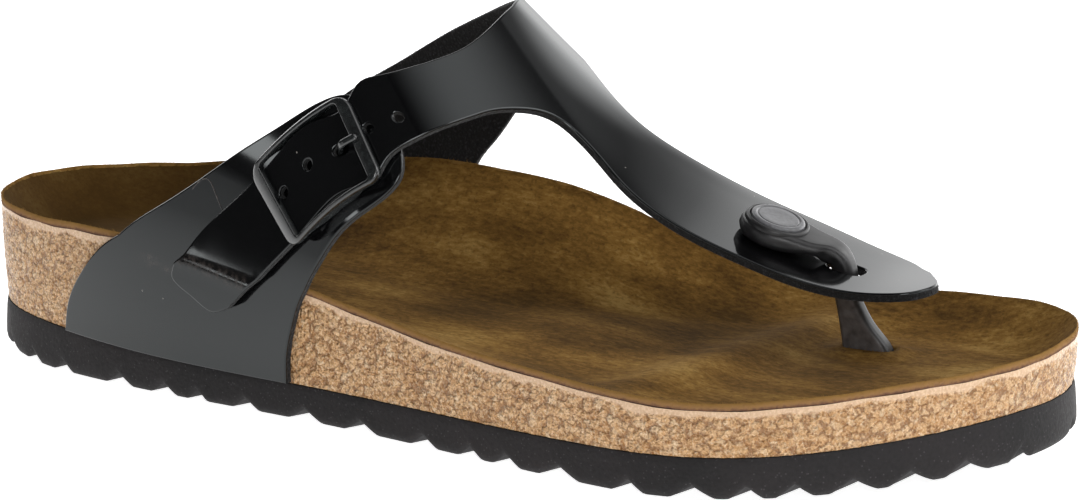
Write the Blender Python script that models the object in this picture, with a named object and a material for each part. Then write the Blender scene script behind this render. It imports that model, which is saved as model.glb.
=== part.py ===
"""Toe post sandal for the right foot, with a lugged sole, a cork footbed and a buckled patent T-strap.

Sizes are in millimetres until a mesh is made. The heel's back is at x = 0, the toe points to +x, the medial
side is +y and the sandal stands on z = 0. An empty then puts the origin at the bottom centre.
"""
import math
from itertools import product

import bmesh
import bpy
import numpy as np
from mathutils.geometry import delaunay_2d_cdt

MM = 0.001
GAP = 0.3                   # between pieces that are glued or rest on each other

# Driving dimensions of the sole
LENGTH = 265.2
HEEL_LIFT = 2.95            # bevel under the back of the heel
HEEL_FLAT = 30.0            # the heel stands flat from here
TOE_SPRING = 4.85
SPRING_START = 190.0        # the forefoot stands flat up to here
SPRING_END = 262.0
BEVEL_POWER, SPRING_POWER = 1.5, 1.6
LUG_DEPTH = 2.2
LUG_WAVE = 5.0              # how far a groove wanders on its way across the sole
SOLE_ROWS = 7               # points across the underside
END_STATIONS = (0.0, 1.5, 4.5, 260.5, 263.2, LENGTH)
BASE_INSET = 0.75           # the cork leans in by this much at its base
LUG_INSET = 2.0
SOLE_BULGE = 0.5            # the outsole stands this far outside the rim
SOLE_SIDE = ((0.4, 1.0), (0.8, 0.6))    # share of the height, share of the bulge
INSOLE = 1.6                # thickness of the suede lining
BED_STATIONS, BED_ROWS = 37, 17
RIM_POINTS = 700            # to each side, for the distance to the rim

# Driving dimensions of the upper
WALL = 2.0                  # patent leather with its felt lining
STRAP_LIFT = 2.3            # the T-strap lies this much higher where it crosses the panel
LIFT_START, LIFT_END = -34.0, -48.0
STRAP_MESH = 3.9            # facet size on the straps
EDGE_CLEAR = 0.55           # share of the facet size kept clear of corners along an edge
GIRTH_MM = 0.9              # millimetres for a degree of girth, for even facets
SLOPE_STEP = 0.2            # station or girth step for directions on the last
SHARP_ANGLE = 40.0
MEDIAL_FOOT = (38.0, 103.5)  # stations where the medial arm meets the outsole
PANEL_FOOT = (36.0, 102.8)
STRIP_TIP = (237.3, 7.6)    # station, y

# Buckle, in its own directions: along the strap, across it, and height above the last
BUCKLE_AT = (113.3, -68.2)  # station and girth of its middle
BUCKLE_RUN = (0.80, 0.79)   # direction along the strap: stations against degrees of girth
BUCKLE_LONG, BUCKLE_WIDE = 27.2, 21.0
END_BAR, SIDE_BAR = 3.0, 1.2
BAR_LOW, BAR_HIGH = 5.2, 7.3
CENTRE_BAR = 1.5
CENTRE_LOW, CENTRE_HIGH = 2.6, 4.1
CHEEK = 5.0                 # half length of the deep stretch of each side bar, which holds the centre bar
CORNER_CUT = 1.3
STRAP_HUMP = 1.8            # rise of the strap over the centre bar and the prong
HUMP_RISE = (-8.0, -2.0)
HUMP_FALL = (9.6, 6.0)
PRONG_WIDE, PRONG_THICK, PRONG_ROUND = 1.6, 1.2, 0.45
PRONG_PATH = (
    # along the strap, height
    (1.05, 3.3), (3.45, 3.3), (5.4, 3.3), (6.5, 4.6), (7.6, 6.6), (8.8, 8.0), (9.9, 8.2), (12.5, 8.2),
)
PRONG_HOLE = (6.9, 3.4, 2.6)    # place along the strap, length, width
HOLE_SIDES = 10
STRAP_IN_BUCKLE = ((-12.5, -4.0, 4.0, 11.5), 17.4)    # places along the strap, width there

# Toe post
HEAD_AT = (198.2, 8.6)
HEAD_THICK = 4.2
HEAD_SLOPE = -0.33
POST_ROUND, POST_ROUND_SHARE = 1.6, 0.45    # corner radius of the sections, and its limit as a share of width
BUTTON_RADIUS, BUTTON_HIGH, BUTTON_SIDES = 6.0, 1.0, 24
BUTTON_PROFILE = ((1.0, 0.0), (1.0, 0.6), (0.9, 1.0))    # share of the radius, share of the height
# Slots for the post: station, y, length, width, corner radius
STRIP_SLOT = (214.2, 11.4, 8.6, 6.4, 2.5)
BED_SLOT = (218.0, 16.3, 12.2, 5.4, 2.0)
BED_SLOT_CUT = (5.0, 26.0)  # lowest and highest point of its cutter

# Outline and rim of the footbed. The dish is how far in from the rim the bed has come down to its floor.
OUTLINE = (
    # station, lateral y, lateral rim, lateral dish, medial y, medial rim, medial dish
    (0.0, 0.0, 38.7, 12.0, 0.0, 38.7, 12.0),
    (8.0, -20.6, 37.9, 12.0, 18.8, 38.4, 12.0),
    (30.0, -30.2, 36.8, 12.0, 29.7, 39.2, 12.5),
    (65.0, -35.4, 36.5, 15.0, 31.5, 43.5, 18.0),
    (105.0, -38.1, 31.5, 18.0, 31.1, 46.3, 29.0),
    (145.0, -43.4, 25.0, 18.0, 36.4, 39.4, 31.0),
    (180.0, -48.7, 22.3, 15.0, 43.3, 26.5, 20.0),
    (205.0, -49.6, 21.1, 14.0, 46.5, 24.5, 17.0),
    (228.0, -42.1, 22.6, 13.0, 44.9, 25.9, 14.0),
    (246.0, -28.6, 24.8, 12.0, 39.8, 27.4, 13.0),
    (258.0, -13.7, 26.0, 12.0, 32.3, 27.6, 12.0),
    (LENGTH, 10.0, 27.5, 12.0, 10.0, 27.5, 12.0),
)
DISH_POWER = 1.8

# Heights along the middle of the shoe
PROFILE = (
    # station, top of the outsole, floor of the bed
    (0.0, 13.6, 27.5),
    (60.0, 9.25, 25.5),
    (130.0, 8.3, 21.0),
    (190.0, 8.9, 17.4),
    (230.0, 11.1, 17.6),
    (262.0, 15.6, 19.5),
)
TOE_BAR = (196.0, 0.17, 8.0, 2.6)         # station at y = 0, slant, breadth, height
METATARSAL_PAD = (160.0, -4.0, 19.0, 2.2)  # station, y, breadth, height

# Grooves of the outsole, where they cut its lateral edge
GROOVES = (
    # station, half width
    (11.0, 3.0), (21.0, 3.0), (32.0, 3.5), (51.0, 4.5), (65.0, 4.0), (75.0, 3.0), (89.0, 4.0),
    (106.0, 5.0), (122.0, 5.0), (140.0, 4.0), (153.0, 3.5), (163.0, 4.0), (177.0, 5.5), (194.5, 4.0),
    (209.0, 5.0), (220.0, 3.5), (229.0, 3.5), (239.0, 4.0), (248.0, 3.5), (256.0, 3.0),
)

# Crest of the last: the line over the instep that the strap follows
CREST = (
    # station, y, height
    (30.0, 0.0, 148.0),
    (70.0, 2.0, 127.0),
    (100.0, 4.0, 112.0),
    (120.0, 6.3, 98.4),
    (135.0, 8.0, 84.0),
    (150.0, 11.0, 68.4),
    (165.0, 15.0, 55.7),
    (180.0, 18.5, 46.9),
    (200.0, 21.0, 39.1),
    (220.0, 21.0, 33.8),
    (240.0, 19.0, 34.8),
)
# The sections are half ellipses, and their medial half grows squarer towards the toes
SQUARE_START, SQUARE_END, SQUARE_POWER = 125.0, 190.0, 3.2

# Edges of the T-strap and the panel on the last. Girth is in degrees from the crest, lateral negative; past
# 90 it counts millimetres down the side of the footbed.
TAIL_REAR = (
    # station, girth
    (74.0, -92.6), (82.0, -86.0), (90.0, -80.4),
)
STRAP_REAR = (
    # station, girth
    (118.1, -50.5), (121.7, -46.3), (127.9, -37.1), (132.4, -26.2), (133.5, -18.0), (133.2, -9.0),
    (132.0, 1.0), (130.5, 12.0), (127.5, 26.0), (120.3, 42.1), (113.5, 51.7), (101.2, 63.1), (89.0, 71.4),
    (76.8, 77.3), (62.0, 84.0), (50.0, 91.0), (42.0, 101.0), (38.0, 111.0),
)
TAIL_FRONT = (
    # station, girth
    (90.0, -98.8), (96.0, -92.5), (101.5, -87.8),
)
STRAP_FRONT_LATERAL = (
    # station, girth
    (128.8, -59.5), (132.2, -53.3), (138.0, -42.9), (142.5, -31.6), (146.5, -23.2), (151.5, -16.6),
)
STRAP_FRONT_MEDIAL = (
    # station, girth
    (104.0, 106.0), (106.0, 97.0), (109.1, 89.6), (112.3, 85.7), (119.0, 75.6), (126.0, 62.0),
    (133.0, 46.0), (140.0, 31.0), (148.5, 18.5),
)
STRIP = (
    # station, lateral y, medial y
    (158.5, -3.0, 19.0),
    (167.0, -4.7, 22.6),
    (176.0, -5.8, 26.2),
    (186.0, -5.9, 28.6),
    (199.0, -5.1, 30.6),
    (209.0, -4.0, 31.0),
    (217.0, -2.4, 29.8),
    (223.0, -1.2, 27.0),
    (229.5, 0.2, 21.0),
    (235.0, 2.6, 13.6),
)
PANEL_REAR = (
    # station, girth
    (37.2, -110.0), (39.5, -105.2), (43.2, -100.3), (48.5, -94.8), (57.4, -89.2), (68.4, -84.5),
    (80.0, -78.7), (90.7, -72.1), (101.0, -65.0), (110.2, -57.3), (115.5, -53.6), (121.5, -52.0),
    (127.5, -53.0), (131.0, -56.0), (131.9, -59.5),
)
PANEL_FRONT = (
    # station, girth
    (103.2, -107.0), (105.0, -100.0), (107.2, -93.8), (109.9, -88.9), (113.4, -84.2), (118.0, -78.2),
    (123.0, -72.9), (128.0, -67.5), (130.9, -63.0),
)
TAIL_END = (
    # station, girth
    (73.0, -95.9), (78.5, -99.2), (85.0, -101.2),
)

# The toe post's arm: stations along the strip, with its lift off the strip and its width
POST_ARM = (
    # station, lift, width, share of the head's thickness
    (191.0, 0.9, 4.4, 0.60),
    (192.2, 0.3, 8.6, 0.86),
    (194.2, 0.0, 12.2, 1.0),
    (198.2, 0.0, 14.6, 1.0),
    (202.2, 0.2, 13.2, 0.98),
    (205.4, 0.8, 11.4, 0.80),
    (208.4, 1.3, 9.6, 0.70),
)
# The bend into the slot and the blade between the toes
POST_BLADE = (
    # station, y, height, length, width, lean of the section in degrees from level
    (211.4, 11.0, 40.2, 4.2, 7.8, 55.0),
    (213.3, 11.2, 38.7, 4.6, 5.8, 28.0),
    (214.1, 11.4, 36.9, 4.8, 5.0, 8.0),
    (214.3, 12.2, 32.0, 5.2, 4.6, 0.0),
    (215.0, 13.5, 27.5, 6.2, 4.4, 0.0),
    (216.2, 14.9, 23.0, 8.4, 4.4, 0.0),
    (217.6, 16.0, 19.0, 11.0, 4.6, 0.0),
    (218.0, 16.3, 16.0, 11.6, 4.8, 0.0),
    (218.0, 16.3, 10.75, 11.6, 4.8, 0.0),
)

FINISHES = {
    # node: base colour, roughness, metallic
    "outsole": ((0.020, 0.019, 0.019), 0.80, 0.0),
    "footbed": ((0.42, 0.27, 0.15), 0.45, 0.0),
    "insole": ((0.13, 0.075, 0.025), 0.95, 0.0),
    "upper_t_strap": ((0.008, 0.008, 0.009), 0.08, 0.0),
    "upper_buckle_panel": ((0.009, 0.010, 0.010), 0.10, 0.0),
    "buckle_frame": ((0.015, 0.015, 0.016), 0.25, 0.6),
    "buckle_prong": ((0.02, 0.02, 0.021), 0.28, 0.6),
    "toe_post": ((0.012, 0.012, 0.012), 0.45, 0.0),
    "toe_post_button": ((0.035, 0.035, 0.036), 0.40, 0.0),
}


def columns(table):
    """The table's columns as arrays."""
    return np.array(table, float).T


def spline(knots, values):
    """Natural cubic spline through the values at the knots, held at its ends."""
    x, y = np.asarray(knots, float), np.asarray(values, float)
    step, count = np.diff(x), len(x)
    system, right = np.eye(count), np.zeros(count)
    for i in range(1, count - 1):
        system[i, i - 1:i + 2] = step[i - 1], 2 * (step[i - 1] + step[i]), step[i]
        right[i] = 6 * ((y[i + 1] - y[i]) / step[i] - (y[i] - y[i - 1]) / step[i - 1])
    bend = np.linalg.solve(system, right)

    def value(at):
        at = np.clip(np.asarray(at, float), x[0], x[-1])
        i = np.clip(np.searchsorted(x, at) - 1, 0, count - 2)
        after, before = (at - x[i]) / step[i], (x[i + 1] - at) / step[i]
        curve = (before ** 3 - before) * bend[i] + (after ** 3 - after) * bend[i + 1]
        return before * y[i] + after * y[i + 1] + curve * step[i] ** 2 / 6

    return value


def smooth_step(value, start, end):
    """0 before start, 1 past end, with a soft run between."""
    t = np.clip((np.asarray(value, float) - start) / (end - start), 0, 1)
    return t * t * (3 - 2 * t)


def turn(station):
    """Angle that spreads the stations, so that heel and toe come out round."""
    return np.arccos(np.clip(1 - 2 * np.asarray(station, float) / LENGTH, -1, 1))


STATION, LAT_Y, LAT_RIM, LAT_DISH, MED_Y, MED_RIM, MED_DISH = columns(OUTLINE)
# Each side's edge, rim height and dish width, by the angle of the station
SIDES = {
    "lateral": [spline(turn(STATION), column) for column in (LAT_Y, LAT_RIM, LAT_DISH)],
    "medial": [spline(turn(STATION), column) for column in (MED_Y, MED_RIM, MED_DISH)],
}
outsole_top = spline(*columns(PROFILE)[[0, 1]])
bed_floor = spline(*columns(PROFILE)[[0, 2]])
crest_y = spline(*columns(CREST)[[0, 1]])
crest_z = spline(*columns(CREST)[[0, 2]])


def outline(side, angle, inset=0.0):
    """Points of one side of the outline, moved inwards by the inset."""
    edge, small = SIDES[side][0], 1e-4
    angle = np.asarray(angle, float)
    x, y = LENGTH / 2 * (1 - np.cos(angle)), edge(angle)
    run = LENGTH / 2 * np.sin(angle)
    before, after = np.maximum(angle - small, 0), np.minimum(angle + small, math.pi)
    rise = (edge(after) - edge(before)) / (after - before)
    turned = 1.0 if side == "lateral" else -1.0
    size = np.hypot(run, rise)
    return np.stack([x - turned * rise / size * inset, y + turned * run / size * inset], -1)


def underside(x):
    """Height of the lugs' faces above the floor."""
    heel = HEEL_LIFT * np.clip((HEEL_FLAT - x) / HEEL_FLAT, 0, 1) ** BEVEL_POWER
    toe = TOE_SPRING * np.clip((x - SPRING_START) / (SPRING_END - SPRING_START), 0, None) ** SPRING_POWER
    return heel + toe


def rim_points():
    """The rim all round, closely spaced: x, y, height and dish width."""
    angle = np.linspace(0, math.pi, RIM_POINTS)
    rows = []
    for side, (edge, rim, dish) in SIDES.items():
        flat = outline(side, angle)
        rows.append(np.column_stack([flat, rim(angle), dish(angle)]))
    return np.vstack(rows)


RIM = rim_points()


def bed(x, y):
    """Height of the insole's top: a dish that comes down from the rim, with toe bar and metatarsal pad."""
    x, y = np.broadcast_arrays(np.asarray(x, float), np.asarray(y, float))
    spots = np.column_stack([x.ravel(), y.ravel()])
    height = np.empty(len(spots))
    for i, spot in enumerate(spots):
        away = np.hypot(*(RIM[:, :2] - spot).T)
        near = away.argmin()
        rise = np.clip(1 - away[near] / RIM[near, 3], 0, 1) ** DISH_POWER
        station, slant, breadth, high = TOE_BAR
        ridge = high * math.exp(-((spot[0] - station - slant * spot[1]) / breadth) ** 2)
        station, middle, breadth, high = METATARSAL_PAD
        pad = high * math.exp(-((spot[0] - station) ** 2 + (spot[1] - middle) ** 2) / breadth ** 2)
        floor = bed_floor(spot[0]) + (ridge + pad) * (1 - rise)
        height[i] = floor + (RIM[near, 2] - floor) * rise
    return height.reshape(x.shape)


def last(station, girth):
    """A point on the last: an arch from rim to crest on each side, then down the footbed's side."""
    station, girth = np.broadcast_arrays(np.asarray(station, float), np.asarray(girth, float))
    lateral, angle = girth < 0, turn(station)
    edge = np.where(lateral, SIDES["lateral"][0](angle), SIDES["medial"][0](angle))
    rim = np.where(lateral, SIDES["lateral"][1](angle), SIDES["medial"][1](angle))
    out = np.sin(np.radians(np.minimum(np.abs(girth), 90)))
    power = 2 + np.where(lateral, 0, SQUARE_POWER - 2) * smooth_step(station, SQUARE_START, SQUARE_END)
    up = (1 - out ** power) ** (1 / power)
    below = np.maximum(np.abs(girth) - 90, 0)
    lean = np.sign(edge) * BASE_INSET * (below / (rim - outsole_top(station))) ** 2
    y = crest_y(station) + (edge - crest_y(station)) * out - lean
    z = rim + (crest_z(station) - rim) * up - below
    return np.stack([station, y, z], -1)


def last_slopes(station, girth):
    """How a point of the last moves for each step in station, and for each degree of girth."""
    by_station = last(station + SLOPE_STEP, girth) - last(station - SLOPE_STEP, girth)
    by_girth = last(station, girth + SLOPE_STEP) - last(station, girth - SLOPE_STEP)
    return by_station / (2 * SLOPE_STEP), by_girth / (2 * SLOPE_STEP)


def last_normal(station, girth):
    """Unit vector that points away from the foot."""
    station, girth = np.asarray(station, float), np.asarray(girth, float)
    by_station, by_girth = last_slopes(station, girth)
    normal = np.cross(by_station, by_girth)
    return normal / np.linalg.norm(normal, axis=-1, keepdims=True)


def over_last(station, girth, height):
    """A point at a height above the last."""
    return last(station, girth) + last_normal(station, girth) * np.asarray(height, float)[..., None]


def buckle_directions():
    """Steps in station and girth for a millimetre along the strap and for one across it."""
    by_station, by_girth = last_slopes(*BUCKLE_AT)
    along = np.array(BUCKLE_RUN)
    run = along[0] * by_station + along[1] * by_girth
    along = along / np.linalg.norm(run)
    across = np.array([-np.dot(by_girth, run), np.dot(by_station, run)])
    side = across[0] * by_station + across[1] * by_girth
    return along, -across / np.linalg.norm(side)


ALONG, ACROSS = buckle_directions()


def on_buckle(along, across):
    """Station and girth of a place in the buckle's own directions."""
    along, across = np.asarray(along, float), np.asarray(across, float)
    return (BUCKLE_AT[0] + along * ALONG[0] + across * ACROSS[0],
            BUCKLE_AT[1] + along * ALONG[1] + across * ACROSS[1])


def along_buckle(station, girth):
    """How far along the strap a place lies from the buckle's middle."""
    away = np.stack([station - BUCKLE_AT[0], girth - BUCKLE_AT[1]])
    return np.linalg.solve(np.column_stack([ALONG, ACROSS]), away)[0]


def girth_at(station, y):
    """Girth of the place at a station that lies at y."""
    station, y = np.asarray(station, float), np.asarray(y, float)
    crest, angle = crest_y(station), turn(station)
    edge = np.where(y < crest, SIDES["lateral"][0](angle), SIDES["medial"][0](angle))
    share = np.clip((y - crest) / (edge - crest), 0, 1)
    return np.degrees(np.arcsin(share)) * np.sign(y - crest)


def foot_girth(station, side):
    """Girth of the strap's foot, just above the outsole."""
    rim = SIDES[side][1](turn(station))
    return (90 + rim - outsole_top(station) - GAP) * (-1 if side == "lateral" else 1)


def foot_run(start, end, side):
    """Points along the strap's foot from one station to another."""
    stations = np.linspace(start, end, round(abs(end - start) / STRAP_MESH) + 1)
    return [(x, float(foot_girth(x, side))) for x in stations]


def smooth_run(points):
    """Points at an even spacing on a smooth curve through the given ones, in station and girth."""
    points = np.array(points, float)
    flat = points * [1, GIRTH_MM]
    travelled = np.concatenate([[0], np.cumsum(np.hypot(*np.diff(flat, axis=0).T))])
    steps = np.linspace(0, travelled[-1], max(2, round(travelled[-1] / STRAP_MESH) + 1))
    return np.column_stack([spline(travelled, points[:, 0])(steps), spline(travelled, points[:, 1])(steps)])


def inside(points, loop):
    """Which points lie inside a closed loop."""
    x, y = points.T
    hit = np.zeros(len(points), bool)
    for (x0, y0), (x1, y1) in zip(loop, np.roll(loop, -1, axis=0)):
        crosses = (y0 > y) != (y1 > y)
        hit ^= crosses & (x < x0 + (y - y0) * (x1 - x0) / (y1 - y0 if y1 != y0 else 1))
    return hit


def sheet_facets(loop, holes):
    """Points and triangles that fill a loop in station and girth, with its holes left open."""
    scale = np.array([1, GIRTH_MM])
    loops = [loop * scale] + [hole * scale for hole in holes]
    rims = np.vstack(loops)
    low, high = rims.min(0), rims.max(0)
    rows = []
    for k, y in enumerate(np.arange(low[1], high[1], STRAP_MESH * math.sqrt(3) / 2)):
        xs = np.arange(low[0] + (k % 2) * STRAP_MESH / 2, high[0], STRAP_MESH)
        rows.append(np.column_stack([xs, np.full(len(xs), y)]))
    fill = np.vstack(rows)
    keep = inside(fill, loops[0])
    for hole in loops[1:]:
        keep &= ~inside(fill, hole)
    fill = fill[keep]
    fill = fill[[np.hypot(*(rims - spot).T).min() > STRAP_MESH * EDGE_CLEAR for spot in fill]]
    edges, start = [], 0
    for ring in loops:
        count = len(ring)
        edges += [(start + i, start + (i + 1) % count) for i in range(count)]
        start += count
    points = np.vstack([rims, fill])
    corners, _, faces, *_ = delaunay_2d_cdt([tuple(p) for p in points], edges, [], 1, 1e-5)
    corners = np.array([tuple(c) for c in corners])
    centres = np.array([corners[list(face)].mean(0) for face in faces])
    keep = inside(centres, loops[0])
    for hole in loops[1:]:
        keep &= ~inside(centres, hole)
    return corners / scale, [list(face) for face, kept in zip(faces, keep) if kept]


def closed_sheet(mesh, inner, outer, faces):
    """Two copies of a sheet and the walls along their open edges."""
    low = [mesh.verts.new(p) for p in inner]
    high = [mesh.verts.new(p) for p in outer]
    ways = {}
    for face in faces:
        mesh.faces.new([high[i] for i in face])
        mesh.faces.new([low[i] for i in reversed(face)])
        for i, j in zip(face, face[1:] + face[:1]):
            ways[(i, j)] = True
    for i, j in ways:
        if (j, i) not in ways:
            mesh.faces.new([high[j], high[i], low[i], low[j]])
    bmesh.ops.delete(mesh, geom=[v for v in mesh.verts if not v.link_faces], context="VERTS")


def add_grid(mesh, points):
    """Quads over a grid of points."""
    rows = [[mesh.verts.new(p) for p in row] for row in points]
    for row, above in zip(rows, rows[1:]):
        for i in range(len(row) - 1):
            mesh.faces.new([row[i], row[i + 1], above[i + 1], above[i]])


def finish(name, mesh):
    """Welds the mesh, points its faces outwards and makes it an object with its own material."""
    bmesh.ops.remove_doubles(mesh, verts=mesh.verts, dist=1e-3)
    bmesh.ops.dissolve_degenerate(mesh, edges=mesh.edges, dist=1e-4)
    bmesh.ops.triangulate(mesh, faces=mesh.faces)
    bmesh.ops.recalc_face_normals(mesh, faces=mesh.faces)
    bmesh.ops.scale(mesh, vec=(MM, MM, MM), verts=mesh.verts)
    data = bpy.data.meshes.new(name)
    mesh.to_mesh(data)
    mesh.free()
    data.shade_smooth()
    data.set_sharp_from_angle(angle=math.radians(SHARP_ANGLE))
    piece = bpy.data.objects.new(name, data)
    bpy.context.collection.objects.link(piece)
    if name in FINISHES:
        colour, roughness, metallic = FINISHES[name]
        material = bpy.data.materials.new(name)
        material.use_nodes = True
        shader = material.node_tree.nodes["Principled BSDF"]
        shader.inputs["Base Color"].default_value = (*colour, 1)
        shader.inputs["Roughness"].default_value = roughness
        shader.inputs["Metallic"].default_value = metallic
        data.materials.append(material)
    return piece


def with_height(flat, height):
    """Joins x and y with a height for each point."""
    return np.concatenate([flat, np.broadcast_to(height, flat.shape[:-1])[..., None]], -1)


def groove_stations():
    """Stations that follow each groove's flanks, with a few more at heel and toe."""
    stations = list(END_STATIONS)
    for centre, half in GROOVES:
        stations += [centre + half * share for share in (-1, -0.5, 0, 0.5, 1)]
    return np.array(sorted(stations))


def make_outsole():
    """Outsole: flat top that follows the footbed, bulged side and a lugged underside."""
    stations = groove_stations()
    angle = turn(stations)
    depth = np.zeros(len(stations))
    for centre, half in GROOVES:
        share = np.clip(np.abs(stations - centre) / half, 0, 1)
        depth = np.maximum(depth, LUG_DEPTH * np.cos(share * math.pi / 2) ** 2)
    rings = {}
    for side in SIDES:
        low = outline(side, angle, LUG_INSET)
        low = with_height(low, underside(low[:, 0]) + depth)
        top = outline(side, angle, BASE_INSET)
        top = with_height(top, outsole_top(top[:, 0]) - GAP)
        rings[side] = [low]
        for share, bulge in SOLE_SIDE:
            middle = outline(side, angle, -SOLE_BULGE * bulge)
            rings[side].append(with_height(middle, low[:, 2] + (top[:, 2] - low[:, 2]) * share))
        rings[side].append(top)
    mesh = bmesh.new()
    across = np.linspace(0, 1, SOLE_ROWS)[:, None, None]
    sole = rings["lateral"][0] * (1 - across) + rings["medial"][0] * across
    sole[..., 0] += LUG_WAVE * np.sin(across[..., 0] * 2 * math.pi) * np.sin(angle) ** 2
    sole[..., 2] = underside(sole[..., 0]) + depth
    add_grid(mesh, sole)
    add_grid(mesh, [rings["lateral"][-1], rings["medial"][-1]])
    for side in SIDES:
        add_grid(mesh, rings[side])
    return finish("outsole", mesh)


BED_ANGLES = np.linspace(0, math.pi, BED_STATIONS)
BED_ACROSS = np.sin(np.linspace(-1, 1, BED_ROWS) * math.pi / 2)


def bed_grid():
    """Points across the bed at each station, from the lateral rim to the medial one."""
    lateral, medial = outline("lateral", BED_ANGLES), outline("medial", BED_ANGLES)
    share = ((BED_ACROSS + 1) / 2)[:, None, None]
    flat = lateral * (1 - share) + medial * share
    return with_height(flat, bed(flat[..., 0], flat[..., 1]))


def make_footbed(top):
    """Cork footbed: the bed's underside of the lining on top, sides that lean in, flat base."""
    mesh = bmesh.new()
    add_grid(mesh, top)
    bases = []
    for side, rim in zip(SIDES, (top[0], top[-1])):
        base = outline(side, BED_ANGLES, BASE_INSET)
        base = with_height(base, outsole_top(base[:, 0]))
        middle = outline(side, BED_ANGLES, BASE_INSET / 4)
        middle = with_height(middle, (base[:, 2] + rim[:, 2]) / 2)
        add_grid(mesh, [base, middle, rim])
        bases.append(base)
    add_grid(mesh, bases)
    return finish("footbed", mesh)


def make_insole(top):
    """Suede lining of even thickness over the whole bed."""
    mesh = bmesh.new()
    low = top - [0, 0, INSOLE]
    add_grid(mesh, top)
    add_grid(mesh, low)
    add_grid(mesh, [top[0], low[0]])
    add_grid(mesh, [top[-1], low[-1]])
    return finish("insole", mesh)


def rounded(long, wide, radius, corner=3):
    """Corners of a rounded rectangle, anticlockwise."""
    points = []
    for k, (sx, sy) in enumerate(((1, 1), (-1, 1), (-1, -1), (1, -1))):
        for step in range(corner):
            angle = (k + step / (corner - 1)) * math.pi / 2
            points.append((sx * (long / 2 - radius) + radius * math.cos(angle),
                           sy * (wide / 2 - radius) + radius * math.sin(angle)))
    return np.array(points)


def add_tube(mesh, rings):
    """A closed tube through rings of equal count."""
    rows = [[mesh.verts.new(p) for p in ring] for ring in rings]
    count = len(rows[0])
    for row, above in zip(rows, rows[1:]):
        for i in range(count):
            j = (i + 1) % count
            mesh.faces.new([row[i], row[j], above[j], above[i]])
    mesh.faces.new(rows[0])
    mesh.faces.new(rows[-1])


def cut_post_slot(*pieces):
    """Cuts the hole for the toe post through the insole and the footbed."""
    station, y, *sizes = BED_SLOT
    loop = rounded(*sizes) + [station, y]
    mesh = bmesh.new()
    add_tube(mesh, [with_height(loop, height) for height in BED_SLOT_CUT])
    cutter = finish("post_slot_cutter", mesh)
    cutter.hide_render = True
    cutter.display_type = "WIRE"
    for piece in pieces:
        cut = piece.modifiers.new("post slot", "BOOLEAN")
        cut.operation = "DIFFERENCE"
        cut.solver = "EXACT"
        cut.object = cutter
    return cutter


def strap_lift(station, girth):
    """Height of the T-strap above the last: up over the panel, and a hump over the buckle's centre bar."""
    along = along_buckle(station, girth)
    lift = STRAP_LIFT * smooth_step(girth, LIFT_START, LIFT_END)
    hump = smooth_step(along, *HUMP_RISE) * smooth_step(along, *HUMP_FALL)
    return GAP + lift + STRAP_HUMP * hump * smooth_step(girth, LIFT_START, LIFT_END)


def make_t_strap():
    """T-strap: medial arm, arm with tail through the buckle, and the strip to the toe post."""
    station, lateral, medial = columns(STRIP)
    tip = (STRIP_TIP[0], float(girth_at(*STRIP_TIP)))
    near = [(x, float(girth_at(x, y))) for x, y in zip(station, lateral)]
    far = [(x, float(girth_at(x, y))) for x, y in zip(station, medial)]
    foot = foot_run(*MEDIAL_FOOT, "medial")
    places, width = STRAP_IN_BUCKLE
    rear_edge = [on_buckle(place, -width / 2) for place in places]
    front_edge = [on_buckle(place, width / 2) for place in places]
    front = smooth_run([foot[-1], *STRAP_FRONT_MEDIAL, *far, tip, *near[::-1], *STRAP_FRONT_LATERAL[::-1],
                        *front_edge[::-1], *TAIL_FRONT[::-1]])
    tail = smooth_run([TAIL_FRONT[0], *TAIL_END[::-1], TAIL_REAR[0]])
    rear = smooth_run([*TAIL_REAR, *rear_edge, *STRAP_REAR, foot[0]])
    loop = np.vstack([foot[:-1], front[:-1], tail[:-1], rear[:-1]])
    slot_x, slot_y, *sizes = STRIP_SLOT
    slot = rounded(*sizes) + [slot_x, slot_y]
    slot = np.column_stack([slot[:, 0], girth_at(*slot.T)])
    place, long, wide = PRONG_HOLE
    ring = np.arange(HOLE_SIDES) * 2 * math.pi / HOLE_SIDES
    hole = np.column_stack(on_buckle(place + long / 2 * np.cos(ring), wide / 2 * np.sin(ring)))
    points, faces = sheet_facets(loop, [slot, hole])
    lift = strap_lift(points[:, 0], points[:, 1])
    mesh = bmesh.new()
    closed_sheet(mesh, over_last(*points.T, lift), over_last(*points.T, lift + WALL), faces)
    return finish("upper_t_strap", mesh)


def make_buckle_panel():
    """Side panel: up from the outsole over the footbed's side to a round end under the T-strap."""
    foot = foot_run(*PANEL_FOOT[::-1], "lateral")
    edge = smooth_run([foot[-1], *PANEL_REAR, *PANEL_FRONT[::-1], foot[0]])
    points, faces = sheet_facets(np.vstack([edge[:-1], foot[:-1]]), [])
    low = np.full(len(points), GAP)
    mesh = bmesh.new()
    closed_sheet(mesh, over_last(*points.T, low), over_last(*points.T, low + WALL), faces)
    return finish("upper_buckle_panel", mesh)


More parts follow.
